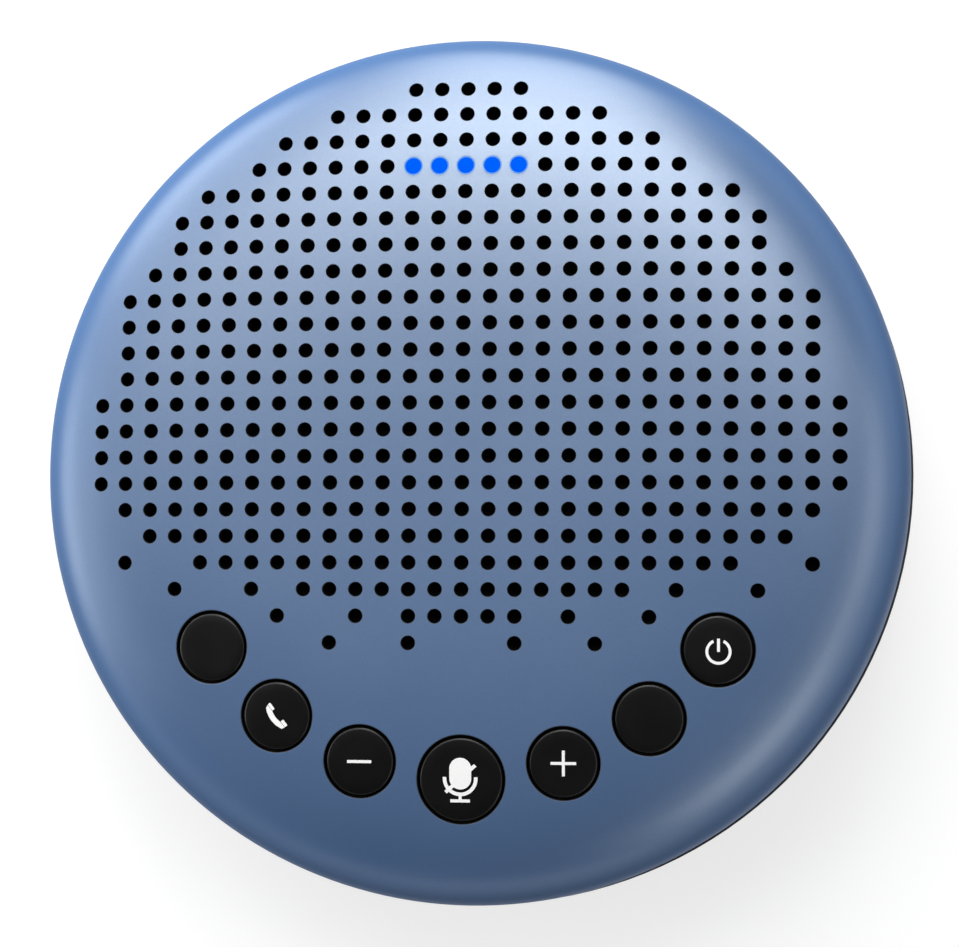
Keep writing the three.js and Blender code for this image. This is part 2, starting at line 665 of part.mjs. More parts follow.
function spider() {
  const ridges = [0, 0.7, 0, 0.7, 0, 0.7, 0];
  const inner = COIL_R + GAP;
  const step = (SPIDER_R - inner) / (ridges.length - 1);
  const lower = ridges.map((lift, i) => [inner + i * step, SPIDER_Z + lift]);
  const upper = lower.map(([r, z]) => [r, z + 0.35]).reverse();
  return turned([...lower, ...upper]);
}

function cone() {
  const neckR = COIL_R + REST;
  const lipZ = SURROUND_Z - REST - SKIN_T;
  return turned([
    [neckR, NECK_Z],
    [CONE_R - CONE_LIP, lipZ],
    [CONE_R, lipZ],
    [CONE_R, lipZ + SKIN_T],
    [CONE_R - CONE_LIP, lipZ + SKIN_T],
    [neckR, NECK_Z + SKIN_T],
  ], 24);
}

function dustCap() {
  const capR = COIL_R + 1.9;
  const slope = (SURROUND_Z - REST - NECK_Z) / (CONE_R - CONE_LIP - COIL_R);
  const base = NECK_Z + SKIN_T + (capR - COIL_R) * slope + REST;
  const bulge = [[0, 2.1], [capR * 0.52, 1.6]];
  return turned([
    ...bulge.map(([r, h]) => [r, base + h - SKIN_T]),
    [capR - SKIN_T, base],
    [capR, base],
    ...bulge.map(([r, h]) => [r, base + h]).reverse(),
  ]);
}

function yoke() {
  return turned([
    [0, YOKE_Z],
    [MOTOR_R, YOKE_Z],
    [MOTOR_R, YOKE_Z + STEEL_T],
    [POLE_R, YOKE_Z + STEEL_T],
    [POLE_R, TOP_PLATE_Z + STEEL_T],
    [0, TOP_PLATE_Z + STEEL_T],
  ], 24);
}

function speakerPiece(name, geometry, look) {
  piece(name, geometry, look, [0, 0, 0], speaker);
}

function gasket() {
  const top = underCloth(SPEAKER_Y + SPEAKER_R) - speaker.position.z;
  return ring(BASKET_R - GAP, SPEAKER_R - REST, SURROUND_Z + SKIN_T + REST, top, 24);
}

const topPlate = ring(COIL_R + COIL_GAP, MOTOR_R, TOP_PLATE_Z, TOP_PLATE_Z + STEEL_T, 24);
const magnet = ring(COIL_R + 1.7, MOTOR_R, MAGNET_Z, TOP_PLATE_Z - REST, 24);
const coilLow = YOKE_Z + STEEL_T + CONE_THROW + GAP;
speakerPiece('speaker_basket', basket(), STAMPED_STEEL);
speakerPiece('speaker_gasket', gasket(), BLACK_CLOTH);
speakerPiece('speaker_surround', surround(), BLACK_RUBBER);
speakerPiece('speaker_spider', spider(), AMBER_CLOTH);
speakerPiece('speaker_cone', cone(), COATED_PAPER);
speakerPiece('speaker_dust_cap', dustCap(), COATED_PAPER);
speakerPiece('speaker_voice_coil', ring(COIL_IN_R, COIL_R, coilLow, NECK_Z + SKIN_T), COPPER);
speakerPiece('speaker_top_plate', topPlate, STAMPED_STEEL);
speakerPiece('speaker_magnet', magnet, FERRITE);
speakerPiece('speaker_yoke', yoke(), STAMPED_STEEL);

// The chamber that closes the back of the speaker, bonded under the inner frame
function speakerChamber() {
  const inner = BASKET_R + 1;
  const outer = inner + CHAMBER_WALL;
  return turned([
    [0, CHAMBER_Z],
    [outer, CHAMBER_Z],
    [outer, DECK_Z - REST],
    [inner, DECK_Z - REST],
    [inner, CHAMBER_Z + CHAMBER_WALL],
    [0, CHAMBER_Z + CHAMBER_WALL],
  ], 32);
}

piece('speaker_chamber', speakerChamber(), BLACK_ABS, [0, SPEAKER_Y, 0]);

// ---- main board, socket and battery ---------------------------------------------------

function mainBoard() {
  const shape = new Shape().absarc(0, 0, BOARD_EDGE_R, 0, Math.PI * 2, false);
  shape.holes = screwPlaces.map(([x, y]) => roundHole(x, y, BOSS_R + GAP));
  const middle = rod(MAIN_BOARD_HOLE_R, 0, HEIGHT, 36);
  const pocketRoom = block(POCKET_W + 4 * POCKET_WALL, 20, 0, HEIGHT);
  pocketRoom.translate(0, BODY_R - POCKET_BACK - POCKET_WALL - GAP + 10, 0);
  const settings = { depth: MAIN_BOARD_T, bevelEnabled: false, curveSegments: 10 };
  const sheet = new THREE.ExtrudeGeometry(shape, settings).translate(0, 0, MAIN_BOARD_Z);
  return cut(sheet, [middle, pocketRoom]);
}

// Receptacle shell open to the rear, with the contact tongue standing from its back wall
function usbSocket() {
  const [width, depth, height] = SOCKET;
  const backWall = 1;
  const shell = slab(roundedRect(width, height, 1.5), 0, depth);
  const cavity = roundedRect(width - 2 * SOCKET_WALL, height - 2 * SOCKET_WALL, 1.25);
  const hollow = slab(cavity, backWall, depth + 1);
  const tongue = slab(roundedRect(6.7, 0.7, 0.3), backWall / 2, depth - 1.5);
  const upright = geometryOf(solid(shell).subtract(solid(hollow)).add(solid(tongue)));
  const mouthY = BODY_R - POCKET_BACK - GAP;
  return upright.rotateX(-Math.PI / 2).translate(0, mouthY - depth, SOCKET_Z);
}

function battery() {
  const [length, width, height] = BATTERY;
  return slab(roundedRect(length, width, 2), BATTERY_Z, BATTERY_Z + height);
}

piece('main_board', mainBoard(), GREEN_BOARD);
piece('usb_socket', usbSocket(), NICKEL);
piece('battery', battery(), CELL_FOIL, [0, SPEAKER_Y, 0]);

export default speakerphone;
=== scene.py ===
# A round conference speakerphone: a domed puck with a perforated, lacquered cover, an arc of
# seven black keys along its front edge and five blue status lights at its rear.
# Lengths are in millimetres times MM, +Z up, +Y to the rear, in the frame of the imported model.

import math

import bmesh
import bpy
from mathutils import Matrix, Vector


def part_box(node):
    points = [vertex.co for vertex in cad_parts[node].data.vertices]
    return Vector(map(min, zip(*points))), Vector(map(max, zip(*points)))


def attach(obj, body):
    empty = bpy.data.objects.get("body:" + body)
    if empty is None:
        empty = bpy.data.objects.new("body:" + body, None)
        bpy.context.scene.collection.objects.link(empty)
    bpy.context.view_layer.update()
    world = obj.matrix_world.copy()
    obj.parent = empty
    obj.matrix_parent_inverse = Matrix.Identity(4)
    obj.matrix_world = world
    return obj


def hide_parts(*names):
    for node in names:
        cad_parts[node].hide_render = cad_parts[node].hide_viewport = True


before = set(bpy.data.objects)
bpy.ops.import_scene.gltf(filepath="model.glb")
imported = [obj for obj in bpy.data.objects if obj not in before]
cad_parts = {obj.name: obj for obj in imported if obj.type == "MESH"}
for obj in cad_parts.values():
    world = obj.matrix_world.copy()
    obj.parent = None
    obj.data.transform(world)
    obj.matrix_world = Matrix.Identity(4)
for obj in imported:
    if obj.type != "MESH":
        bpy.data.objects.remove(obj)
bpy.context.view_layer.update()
MM = 0.001


# ---- what the sections share ------------------------------------------------------------

def linear(code):
    """The linear colour of an sRGB hex value."""
    shares = [int(code[i:i + 2], 16) / 255 for i in (1, 3, 5)]
    bright = [((c + 0.055) / 1.055) ** 2.4 if c > 0.04045 else c / 12.92 for c in shares]
    return (*bright, 1)


def add(tree, kind, values=None, links=None, **settings):
    """Adds a shader node, with its settings, its sockets' values and what feeds them."""
    made = tree.nodes.new(kind)
    for name, value in settings.items():
        setattr(made, name, value)
    for socket, value in (values or {}).items():
        made.inputs[socket].default_value = value
    for socket, source in (links or {}).items():
        tree.links.new(source, made.inputs[socket])
    return made


def new_material(name):
    """An empty material, its node tree and the object's own coordinates."""
    material = bpy.data.materials.new(name)
    material.use_nodes = True
    material.node_tree.nodes.clear()
    place = add(material.node_tree, "ShaderNodeTexCoord").outputs["Object"]
    return material, material.node_tree, place


def two_tones(tree, factor, dark, light):
    """A colour between two hex values, by the factor."""
    return add(tree, "ShaderNodeMix", {6: linear(dark), 7: linear(light)}, {0: factor},
               data_type="RGBA").outputs[2]


def moulded(name, dark, light, roughness, grain, depth, **shader_values):
    """A moulded surface, with grain so many mm across and deep over a slow drift of tint and gloss."""
    material, tree, place = new_material(name)
    pits = add(tree, "ShaderNodeTexNoise", {"Scale": 1 / (grain * MM), "Detail": 2}, {"Vector": place})
    drift = add(tree, "ShaderNodeTexNoise", {"Scale": 1 / (7 * MM), "Detail": 4}, {"Vector": place})
    fine = add(tree, "ShaderNodeMath", {}, {0: pits.outputs[0], 1: drift.outputs[0]}, operation="MULTIPLY")
    spread = add(tree, "ShaderNodeMapRange", {1: 0.1, 2: 0.45}, {0: fine.outputs[0]})
    gloss = add(tree, "ShaderNodeMapRange", {3: roughness - 0.06, 4: roughness + 0.06},
                {0: drift.outputs[0]})
    bump = add(tree, "ShaderNodeBump", {"Distance": depth * MM}, {"Height": pits.outputs[0]})
    shader = add(tree, "ShaderNodeBsdfPrincipled", shader_values, {
        "Base Color": two_tones(tree, spread.outputs[0], dark, light),
        "Roughness": gloss.outputs[0],
        "Normal": bump.outputs[0],
    })
    add(tree, "ShaderNodeOutputMaterial", {}, {0: shader.outputs[0]})
    return material


def lathe(points, turns=128, centre=(0, 0)):
    """(radius, height) points in mm turned about a vertical axis, from axis to axis or closed."""
    bm = bmesh.new()
    line = [bm.verts.new((r * MM, 0, z * MM)) for r, z in points]
    on_axis = points[0][0] == 0
    edges = [bm.edges.new(pair) for pair in zip(line, line[1:] if on_axis else line[1:] + line[:1])]
    bmesh.ops.spin(bm, geom=line + edges, cent=(0, 0, 0), axis=(0, 0, 1), angle=math.tau,
                   steps=turns, use_merge=True)
    bmesh.ops.remove_doubles(bm, verts=bm.verts, dist=1e-7)
    bmesh.ops.recalc_face_normals(bm, faces=bm.faces)
    bmesh.ops.translate(bm, verts=bm.verts, vec=(centre[0] * MM, centre[1] * MM, 0))
    return bm


def rod(radius, low, high, turns=32, centre=(0, 0)):
    """An upright cylinder."""
    return lathe([(0, low), (radius, low), (radius, high), (0, high)], turns, centre)


def block(low, high, corner=0, along=1, segments=5):
    """A box between two corners in mm, with its four edges along one axis rounded."""
    bm = bmesh.new()
    bmesh.ops.create_cube(bm, size=MM)
    size = [b - a for a, b in zip(low, high)]
    bmesh.ops.scale(bm, verts=bm.verts, vec=size)
    bmesh.ops.translate(bm, verts=bm.verts, vec=[(a + b) / 2 * MM for a, b in zip(low, high)])
    if corner:
        edges = [e for e in bm.edges if abs((e.verts[0].co - e.verts[1].co)[along]) > 1e-6]
        bmesh.ops.bevel(bm, geom=edges, offset=corner * MM, segments=segments, profile=0.5,
                        affect="EDGES", material=-1)
    return bm


def soften(bm, width, segments=2, steepest=35):
    """Rounds the edges that turn more than so many degrees."""
    sharp = [e for e in bm.edges if e.is_manifold and e.calc_face_angle(0) > math.radians(steepest)]
    bmesh.ops.bevel(bm, geom=sharp, offset=width * MM, segments=segments, profile=0.5,
                    affect="EDGES", material=-1, clamp_overlap=True)
    return bm


def combined(solid, operation, *tools):
    """The solid with the tools joined to it or cut from it. All are bmeshes, used up here."""
    parts = []
    for bm in (solid, *tools):
        part = bpy.data.objects.new("part", bpy.data.meshes.new("part"))
        bm.to_mesh(part.data)
        bm.free()
        parts.append(part)
    group = bpy.data.collections.new("tools")
    for part in parts[1:]:
        group.objects.link(part)
    bpy.context.scene.collection.objects.link(parts[0])
    step = parts[0].modifiers.new("solid", "BOOLEAN")
    step.operation = operation
    step.operand_type = "COLLECTION"
    step.collection = group
    step.solver = "EXACT"
    bpy.context.view_layer.update()
    made = bmesh.new()
    made.from_object(parts[0], bpy.context.evaluated_depsgraph_get())
    for part in parts:
        bpy.data.meshes.remove(part.data)
    bpy.data.collections.remove(group)
    return made


def piece(name, bm, looks, body, slot, *replaced):
    """Makes a smooth-shaded piece of a bmesh, which rides on a body and stands for CAD nodes."""
    mesh = bpy.data.meshes.new(name)
    bm.to_mesh(mesh)
    bm.free()
    mesh.shade_smooth()
    mesh.set_sharp_from_angle(angle=math.radians(30))
    for look in looks:
        mesh.materials.append(look)
    made = bpy.data.objects.new(name, mesh)
    bpy.context.scene.collection.objects.link(made)
    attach(made, body)
    if replaced:
        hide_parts(*replaced)
    return made


def middle(node):
    """The middle of a CAD node's box in mm."""
    low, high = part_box(node)
    return (low + high) / 2 / MM


GAP = 0.3  # between pieces that slide or are cut to fit


# ---- bottom shell -------------------------------------------------------------------
# A black ABS tray, injection moulded with a fine spark-eroded grain. It has screw wells and
# a groove for the foot underneath, a lip that the cover slides over, and a recess for the
# plug at the rear.

TRAY_WALL = 2
BELLY_DROP = 15.1  # drop over which the tray's wall would close onto the axis
LIP_IN = 2.6  # the lip's outside in from the tray's
LIP_WALL = 1.6
LIP_LEAD = 0.3  # chamfer that leads the cover on
FOOT_W = 6
GROOVE_DEPTH = 0.8
tray_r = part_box("bottom_shell")[1].x / MM
underside_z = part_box("bottom_shell")[0].z / MM
lip_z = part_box("bottom_shell")[1].z / MM
seam_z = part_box("top_shell")[0].z / MM
floor_z = underside_z + TRAY_WALL
lip_r = tray_r - LIP_IN
foot_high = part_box("foot_ring")[1] / MM
foot_in_r = foot_high.x - FOOT_W


def belly(radius, drop, lowest, steps=12):
    """The tray's wall from its lowest height up to the seam, as a superellipse."""
    last = math.asin(((seam_z - lowest) / drop) ** 1.5)
    turns = [last * (1 - i / steps) for i in range(steps)]
    return [(radius * math.cos(t) ** (2 / 3), seam_z - drop * math.sin(t) ** (2 / 3)) for t in turns]


tray = lathe([
    (0, underside_z),
    (foot_in_r - GAP, underside_z),
    (foot_in_r - GAP, underside_z + GROOVE_DEPTH),
    (foot_high.x + GAP, underside_z + GROOVE_DEPTH),
    (foot_high.x + GAP, underside_z),
    *belly(tray_r, BELLY_DROP, underside_z),
    (tray_r, seam_z - GAP - 0.22),  # the rim's edge is rounded
    (tray_r - 0.08, seam_z - GAP - 0.06),
    (tray_r - 0.25, seam_z - GAP),
    (lip_r, seam_z - GAP),
    (lip_r, lip_z - LIP_LEAD),
    (lip_r - LIP_LEAD, lip_z),
    (lip_r - LIP_WALL, lip_z),
    (lip_r - LIP_WALL, seam_z),
    *reversed(belly(tray_r - TRAY_WALL, BELLY_DROP - TRAY_WALL, floor_z, 8)),
    (0, floor_z),
], turns=144)

# Screw wells with their bosses, and pads for the main board
WELL_R = 2.9
WELL_EDGE = 0.35
WELL_DEPTH = 2.4
WELL_WALL = 1.3
WELL_TOP = 4.4
BOSS_R = 2.7
BOSS_TOP = 6.9
SCREW_HOLE_R = 1.45
SCREW_HOLE_LOW = -1  # the hole is cut clear through the boss
SCREW_HOLE_HIGH = 8
PAD_PLACE_R = 46
PAD_R = 2
PAD_TOP = 4.5
ROOT_Z = 2  # well walls and pads start inside the tray's floor
BOSS_ROOT_Z = 2.2
screws = [middle(f"case_screw_{n}") for n in (1, 2, 3, 4)]
bosses = []
wells = []
for at in screws:
    bosses.append(rod(WELL_R + WELL_WALL, ROOT_Z, WELL_TOP, 32, at))
    bosses.append(rod(BOSS_R, BOSS_ROOT_Z, BOSS_TOP, 32, at))
    bosses.append(rod(PAD_R, ROOT_Z, PAD_TOP, 24, at * (PAD_PLACE_R / at.xy.length)))
    wells.append(lathe([
        (0, 0),
        (WELL_R + WELL_EDGE, 0),
        (WELL_R + WELL_EDGE, underside_z - 0.01),
        (WELL_R, underside_z + WELL_EDGE),
        (WELL_R, underside_z + WELL_DEPTH),
        (0, underside_z + WELL_DEPTH),
    ], 32, at))
    wells.append(rod(SCREW_HOLE_R, SCREW_HOLE_LOW, SCREW_HOLE_HIGH, 24, at))

# The recess for a plug's overmould, in a housing with a slot for the socket in its floor. The
# housing ends just inside the tray's own outside.
POCKET_W = 13
POCKET_H = 6.6
POCKET_WALL = 1.8
HOUSING_LOW = 2.2
HOUSING_TOP = 12.4
SLOT_W = 9.54
SLOT_H = 3.86
IN_BY = 0.05
socket = middle("usb_socket")
pocket_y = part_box("usb_socket")[1].y / MM + GAP
side_x = POCKET_W / 2 + POCKET_WALL
within = lathe([
    (0, underside_z + IN_BY),
    *belly(tray_r - IN_BY, BELLY_DROP - IN_BY, underside_z + IN_BY),
    (tray_r - IN_BY, seam_z),
    (0, seam_z),
], 144)
housing = block((-side_x, pocket_y - POCKET_WALL, HOUSING_LOW), (side_x, tray_r, HOUSING_TOP), 1, 2)
housing = combined(housing, "INTERSECT", within)
recess = block((-POCKET_W / 2, pocket_y, socket.z - POCKET_H / 2),
               (POCKET_W / 2, 70, socket.z + POCKET_H / 2), 1.6)
slot_cut = block((-SLOT_W / 2, pocket_y - 5, socket.z - SLOT_H / 2),
                 (SLOT_W / 2, 60, socket.z + SLOT_H / 2), 1.5)

tray = combined(tray, "UNION", housing, *bosses)
tray = combined(tray, "DIFFERENCE", recess, slot_cut, *wells)
# Spark erosion gives the ABS a fine matt grain, with soft and wide highlights.
black_abs = moulded("Black ABS, spark-eroded grain", "#131415", "#1e1f21", 0.46, 0.16, 0.012)
piece("bottom_shell_tray", tray, [black_abs], "casing", "black_abs", "bottom_shell")


# ---- USB-C socket -------------------------------------------------------------------
# A drawn stainless shell with a satin nickel flash, soldered to the main board. A black
# resin tongue stands in it, with twelve gold-plated contacts on each face.

def metal(name, dark, light, roughness, streak):
    """A bare or plated metal: fine noise across streaks so many mm apart, and a slow stain."""
    material, tree, place = new_material(name)
    turned = add(tree, "ShaderNodeMapping", {"Scale": (1, 1, 8)}, {"Vector": place})
    lines = add(tree, "ShaderNodeTexNoise", {"Scale": 1 / (streak * MM), "Detail": 3},
                {"Vector": turned.outputs[0]})
    stain = add(tree, "ShaderNodeTexNoise", {"Scale": 1 / (6 * MM), "Detail": 4}, {"Vector": place})
    gloss = add(tree, "ShaderNodeMapRange", {3: roughness - 0.07, 4: roughness + 0.09},
                {0: lines.outputs[0]})
    bump = add(tree, "ShaderNodeBump", {"Distance": 0.004 * MM}, {"Height": lines.outputs[0]})
    shader = add(tree, "ShaderNodeBsdfPrincipled", {"Metallic": 1}, {
        "Base Color": two_tones(tree, stain.outputs[0], dark, light),
        "Roughness": gloss.outputs[0],
        "Normal": bump.outputs[0],
    })
    add(tree, "ShaderNodeOutputMaterial", {}, {0: shader.outputs[0]})
    return material


SOCKET_WALL = 0.3
SOCKET_FLOOR = 1
socket_low, socket_high = (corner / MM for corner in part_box("usb_socket"))
drawn = soften(block(socket_low, socket_high, 1.5, segments=8), 0.08)
hollow = block(socket_low + Vector((SOCKET_WALL, SOCKET_FLOOR, SOCKET_WALL)),
               socket_high + Vector((-SOCKET_WALL, SOCKET_FLOOR, -SOCKET_WALL)), 1.25, segments=8)
# The satin flash blurs reflections a little, along faint drawing lines.
nickel = metal("Nickel-plated steel", "#b4b6b8", "#cdced0", 0.3, 0.2)
piece("usb_socket_shell", combined(drawn, "DIFFERENCE", hollow), [nickel], "casing",
      "nickel_plate", "usb_socket")

TONGUE_W = 6.7
TONGUE_T = 0.7
tongue_y = socket_low.y + 0.9, socket_high.y - 1.5
tongue = block((-TONGUE_W / 2, tongue_y[0], socket.z - TONGUE_T / 2),
               (TONGUE_W / 2, tongue_y[1], socket.z + TONGUE_T / 2), 0.3)
piece("usb_socket_tongue", soften(tongue, 0.06), [black_abs], "casing", "black_abs")

CONTACT_PITCH = 0.5
CONTACT_SIZE = (0.26, 3.6, 0.04)
contacts = bmesh.new()
for side in (-1, 1):
    for n in range(12):
        x = (n - 5.5) * CONTACT_PITCH
        place = Vector((x, tongue_y[1] - 2.4, socket.z + side * (TONGUE_T / 2 + 0.01)))
        made = bmesh.ops.create_cube(contacts, size=MM)["verts"]
        bmesh.ops.scale(contacts, verts=made, vec=CONTACT_SIZE)
        bmesh.ops.translate(contacts, verts=made, vec=place * MM)
# Hard gold is warm and bright, rubbed along the way the plug slides.
gold = metal("Gold-plated contacts", "#c79a3a", "#e0b75a", 0.25, 0.1)
piece("usb_socket_contacts", contacts, [gold], "casing", "nickel_plate")


# ---- main board and battery ---------------------------------------------------------
# The board is glass-epoxy laminate under green solder mask, on pads in the tray. The battery
# is a lithium pouch in laminated aluminium foil, taped into the space inside the board.

def laminate(name, dark, light):
    """Solder mask over a glass weave: a half-gloss green with the threads just showing."""
    material, tree, place = new_material(name)
    threads = add(tree, "ShaderNodeTexChecker", {"Scale": 1 / (0.6 * MM)}, {"Vector": place})
    cloud = add(tree, "ShaderNodeTexNoise", {"Scale": 1 / (2 * MM), "Detail": 4}, {"Vector": place})
    both = add(tree, "ShaderNodeMath", {1: 0.12, 2: 0.2}, {0: threads.outputs[1]}, operation="MULTIPLY_ADD")
    shade = add(tree, "ShaderNodeMath", {}, {0: both.outputs[0], 1: cloud.outputs[0]}, operation="ADD")
    bump = add(tree, "ShaderNodeBump", {"Distance": 0.01 * MM}, {"Height": threads.outputs[1]})
    gloss = add(tree, "ShaderNodeMapRange", {3: 0.32, 4: 0.48}, {0: cloud.outputs[0]})
    shader = add(tree, "ShaderNodeBsdfPrincipled", {}, {
        "Base Color": two_tones(tree, shade.outputs[0], dark, light),
        "Roughness": gloss.outputs[0],
        "Normal": bump.outputs[0],
    })
    add(tree, "ShaderNodeOutputMaterial", {}, {0: shader.outputs[0]})
    return material


def dress(material, *nodes):
    """Gives CAD nodes that keep their shape a material."""
    for name in nodes:
        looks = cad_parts[name].data.materials
        looks.clear()
        looks.append(material)


# The mask is half glossy, and the glass threads under it just show.
solder_mask = laminate("Green solder mask on glass laminate", "#12382a", "#1f5a3f")
dress(solder_mask, "main_board")

POUCH_CORNER = 2
POUCH_EDGE = 0.9
# Laminated foil is a dull silver, a little wavy.
foil = metal("Aluminium pouch foil", "#8f9499", "#b3b7bb", 0.38, 1.2)
cell_low, cell_high = (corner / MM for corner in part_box("battery"))
cell = soften(block(cell_low, cell_high, POUCH_CORNER, 2), POUCH_EDGE, 4, 60)
piece("battery_pouch", cell, [foil], "casing", "cell_foil", "battery")


# ---- speaker ------------------------------------------------------------------------
# A 57 mm full-range driver: zinc-plated steel basket, ferrite ring magnet between two steel
# plates, pulp cone with its dust cap on a copper coil, rubber surround and cloth spider.

# Zinc is a bluish grey with a soft shine; ground ferrite is dark and dull. Pulp and foam take
# the light evenly, rubber has a faint sheen, and resin leaves the cotton stiff and amber.
steel = metal("Zinc-plated steel", "#8d9197", "#a9adb2", 0.36, 0.4)
ferrite = moulded("Ground ferrite", "#2a2b2d", "#3f4144", 0.6, 0.1, 0.01)
pulp = moulded("Coated paper pulp", "#17181a", "#26282a", 0.78, 0.5, 0.05)
rubber = moulded("Black rubber", "#101010", "#1b1b1b", 0.8, 0.25, 0.01)
amber = moulded("Resin-stiffened cotton", "#9a7638", "#c19a52", 0.85, 0.3, 0.04)
copper = metal("Enamelled copper wire", "#9c5a2c", "#c27a45", 0.3, 0.1)
foam = moulded("Black foam", "#080808", "#141414", 0.95, 0.4, 0.1)
dress(steel, "speaker_basket", "speaker_top_plate", "speaker_yoke")
dress(ferrite, "speaker_magnet")
dress(pulp, "speaker_cone", "speaker_dust_cap")
dress(rubber, "speaker_surround")
dress(amber, "speaker_spider")
dress(copper, "speaker_voice_coil")
dress(foam, "speaker_gasket")
dress(black_abs, "speaker_chamber", "inner_frame")


# ---- key board, switches and seal ---------------------------------------------------
# Seven tactile switches on a curved board, each a tinned steel can with a nylon plunger. A
# silicone sheet over them keeps spills out, and a flat cable leads to the main board.

KEYS = ("function", "call", "volume_down", "mute", "volume_up", "wireless", "power")
# Nylon is ivory and waxy; silicone is a soft grey with hardly any shine.
nylon = moulded("Ivory nylon", "#c9c6bb", "#e2dfd4", 0.5, 0.2, 0.005)
silicone = moulded("Grey silicone", "#4c4f53", "#606368", 0.68, 0.3, 0.008)
dress(solder_mask, "key_board", "led_board")
dress(nylon, "key_flat_cable", *[f"{name}_plunger" for name in KEYS])
dress(steel, *[f"{name}_switch" for name in KEYS])
dress(silicone, "key_seal")


# ---- keys ---------------------------------------------------------------------------
# Black caps moulded with their flange and post, with a soft satin paint. A cap's top follows
# the dome of the cover and its edge is rounded, so that it catches a thin line of light.

body_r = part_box("top_shell")[1].x / MM
crown_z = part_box("top_shell")[1].z / MM
WIDE_Z = 18.4  # height of the widest section


def outer_dome(r):
    """Height in mm of the cover's outside, so far from the axis."""
    return WIDE_Z + (crown_z - WIDE_Z) * (1 - (r / body_r) ** 3) ** 0.2


FLANGE_W = 1.15
FLANGE_T = 0.7
POST_R = 1.3
POST_LENGTH = 0.8
CAP_EDGE = 0.42  # rounding of a cap's edge
CAP_SUNK = 0.06  # top of a cap below the cover
# The paint is almost black, with a narrow soft highlight.
satin_paint = moulded("Satin soft-touch paint", "#050505", "#0a0a0a", 0.33, 0.1, 0.003,
                      **{"Specular IOR Level": 0.36})
caps = {}
for name in KEYS:
    low, high = (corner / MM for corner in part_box(f"{name}_key"))
    at = (low + high) / 2
    flange_r = (high.y - low.y) / 2
    cap_r = flange_r - FLANGE_W
    flange_z = low.z + POST_LENGTH
    caps[name] = (at, cap_r)
    top = outer_dome(at.xy.length) - CAP_SUNK
    edge = [(cap_r - CAP_EDGE + CAP_EDGE * math.cos(turn), top - CAP_EDGE + CAP_EDGE * math.sin(turn))
            for turn in (math.pi / 10 * i for i in range(6))]
    cap = lathe([
        (0, low.z),
        (POST_R, low.z),
        (POST_R, flange_z),
        (flange_r, flange_z),
        (flange_r, flange_z + FLANGE_T),
        (cap_r, flange_z + FLANGE_T),
        *edge,
        (cap_r * 0.7, top),
        (cap_r * 0.35, top),
        (0, top),
    ], 72, at)
    for v in cap.verts:
        in_top = v.co.z / MM > flange_z + FLANGE_T + 1
        if in_top:
            v.co.z += (outer_dome(v.co.xy.length / MM) - CAP_SUNK - top) * MM
    piece(f"{name}_cap", cap, [satin_paint], f"{name}_button", "key_black", f"{name}_key")


# ---- signs on the keys ----------------------------------------------------------------
# White pad-printed ink, a few hundredths of a millimetre thick, on the satin paint: minus,
# plus, power, telephone and muted microphone. Two keys have none.

INK_T = 0.035
INK_SUNK = 0.05  # how far the print's solid reaches into the cap
STROKE = 0.4


def bar(width, height, x=0, y=0, turn=0, corner=0):
    """A flat bar, its solid from height 0 to 1."""
    bm = block((-width / 2, -height / 2, 0), (width / 2, height / 2, 1), corner, 2)
    spun = Matrix.Rotation(math.radians(turn), 3, "Z")
    bmesh.ops.rotate(bm, verts=bm.verts, cent=(0, 0, 0), matrix=spun)
    bmesh.ops.translate(bm, verts=bm.verts, vec=(x * MM, y * MM, 0))
    return bm


def arc(radius, stroke, first, last, x=0, y=0, steps=32):
    """A flat stroke round part of a circle, between two angles in degrees."""
    bm = block((radius - stroke / 2, 0, 0), (radius + stroke / 2, 1, 1))
    bmesh.ops.delete(bm, geom=[f for f in bm.faces if f.calc_center_median().y > 0.01 * MM
                               or f.normal.y > -0.5], context="FACES")
    spun = Matrix.Rotation(math.radians(first), 3, "Z")
    bmesh.ops.rotate(bm, verts=bm.verts, cent=(0, 0, 0), matrix=spun)
    bmesh.ops.spin(bm, geom=bm.faces[:], cent=(0, 0, 0), axis=(0, 0, 1),
                   angle=math.radians(last - first), steps=steps)
    bmesh.ops.recalc_face_normals(bm, faces=bm.faces)
    bmesh.ops.translate(bm, verts=bm.verts, vec=(x * MM, y * MM, 0))
    return bm


def capsule(width, height, x, y):
    """A flat upright shape with round ends."""
    bm = rod(width / 2, 0, 1, 48)
    for v in bm.verts:
        v.co.y += math.copysign((height - width) / 2 * MM, v.co.y) if abs(v.co.y) > 1e-9 else 0
    bmesh.ops.translate(bm, verts=bm.verts, vec=(x * MM, y * MM, 0))
    return bm


def handset():
    """A telephone handset: a curved grip, and a rounded cap a hairline from each of its ends."""
    ear = (-0.75, 1.25, -53)
    mouth = (1.06, -1.05, -51)
    blades = [bar(1.3, 0.52, *ear), bar(1.3, 0.58, *mouth),
              bar(1, 0.6, -1.62, 1.44, 61), bar(1, 0.6, 1.07, -1.98, 23)]
    for blade in blades:
        bmesh.ops.scale(blade, verts=blade.verts, vec=(1, 1, 3))
        bmesh.ops.translate(blade, verts=blade.verts, vec=(0, 0, -MM))
    grip = combined(arc(3.29, 0.76, 181, 254, 2.14, 1.59), "DIFFERENCE", *blades)
    return combined(grip, "UNION", bar(1.08, 0.4, *ear, 0.1), bar(1, 0.46, *mouth, 0.1))


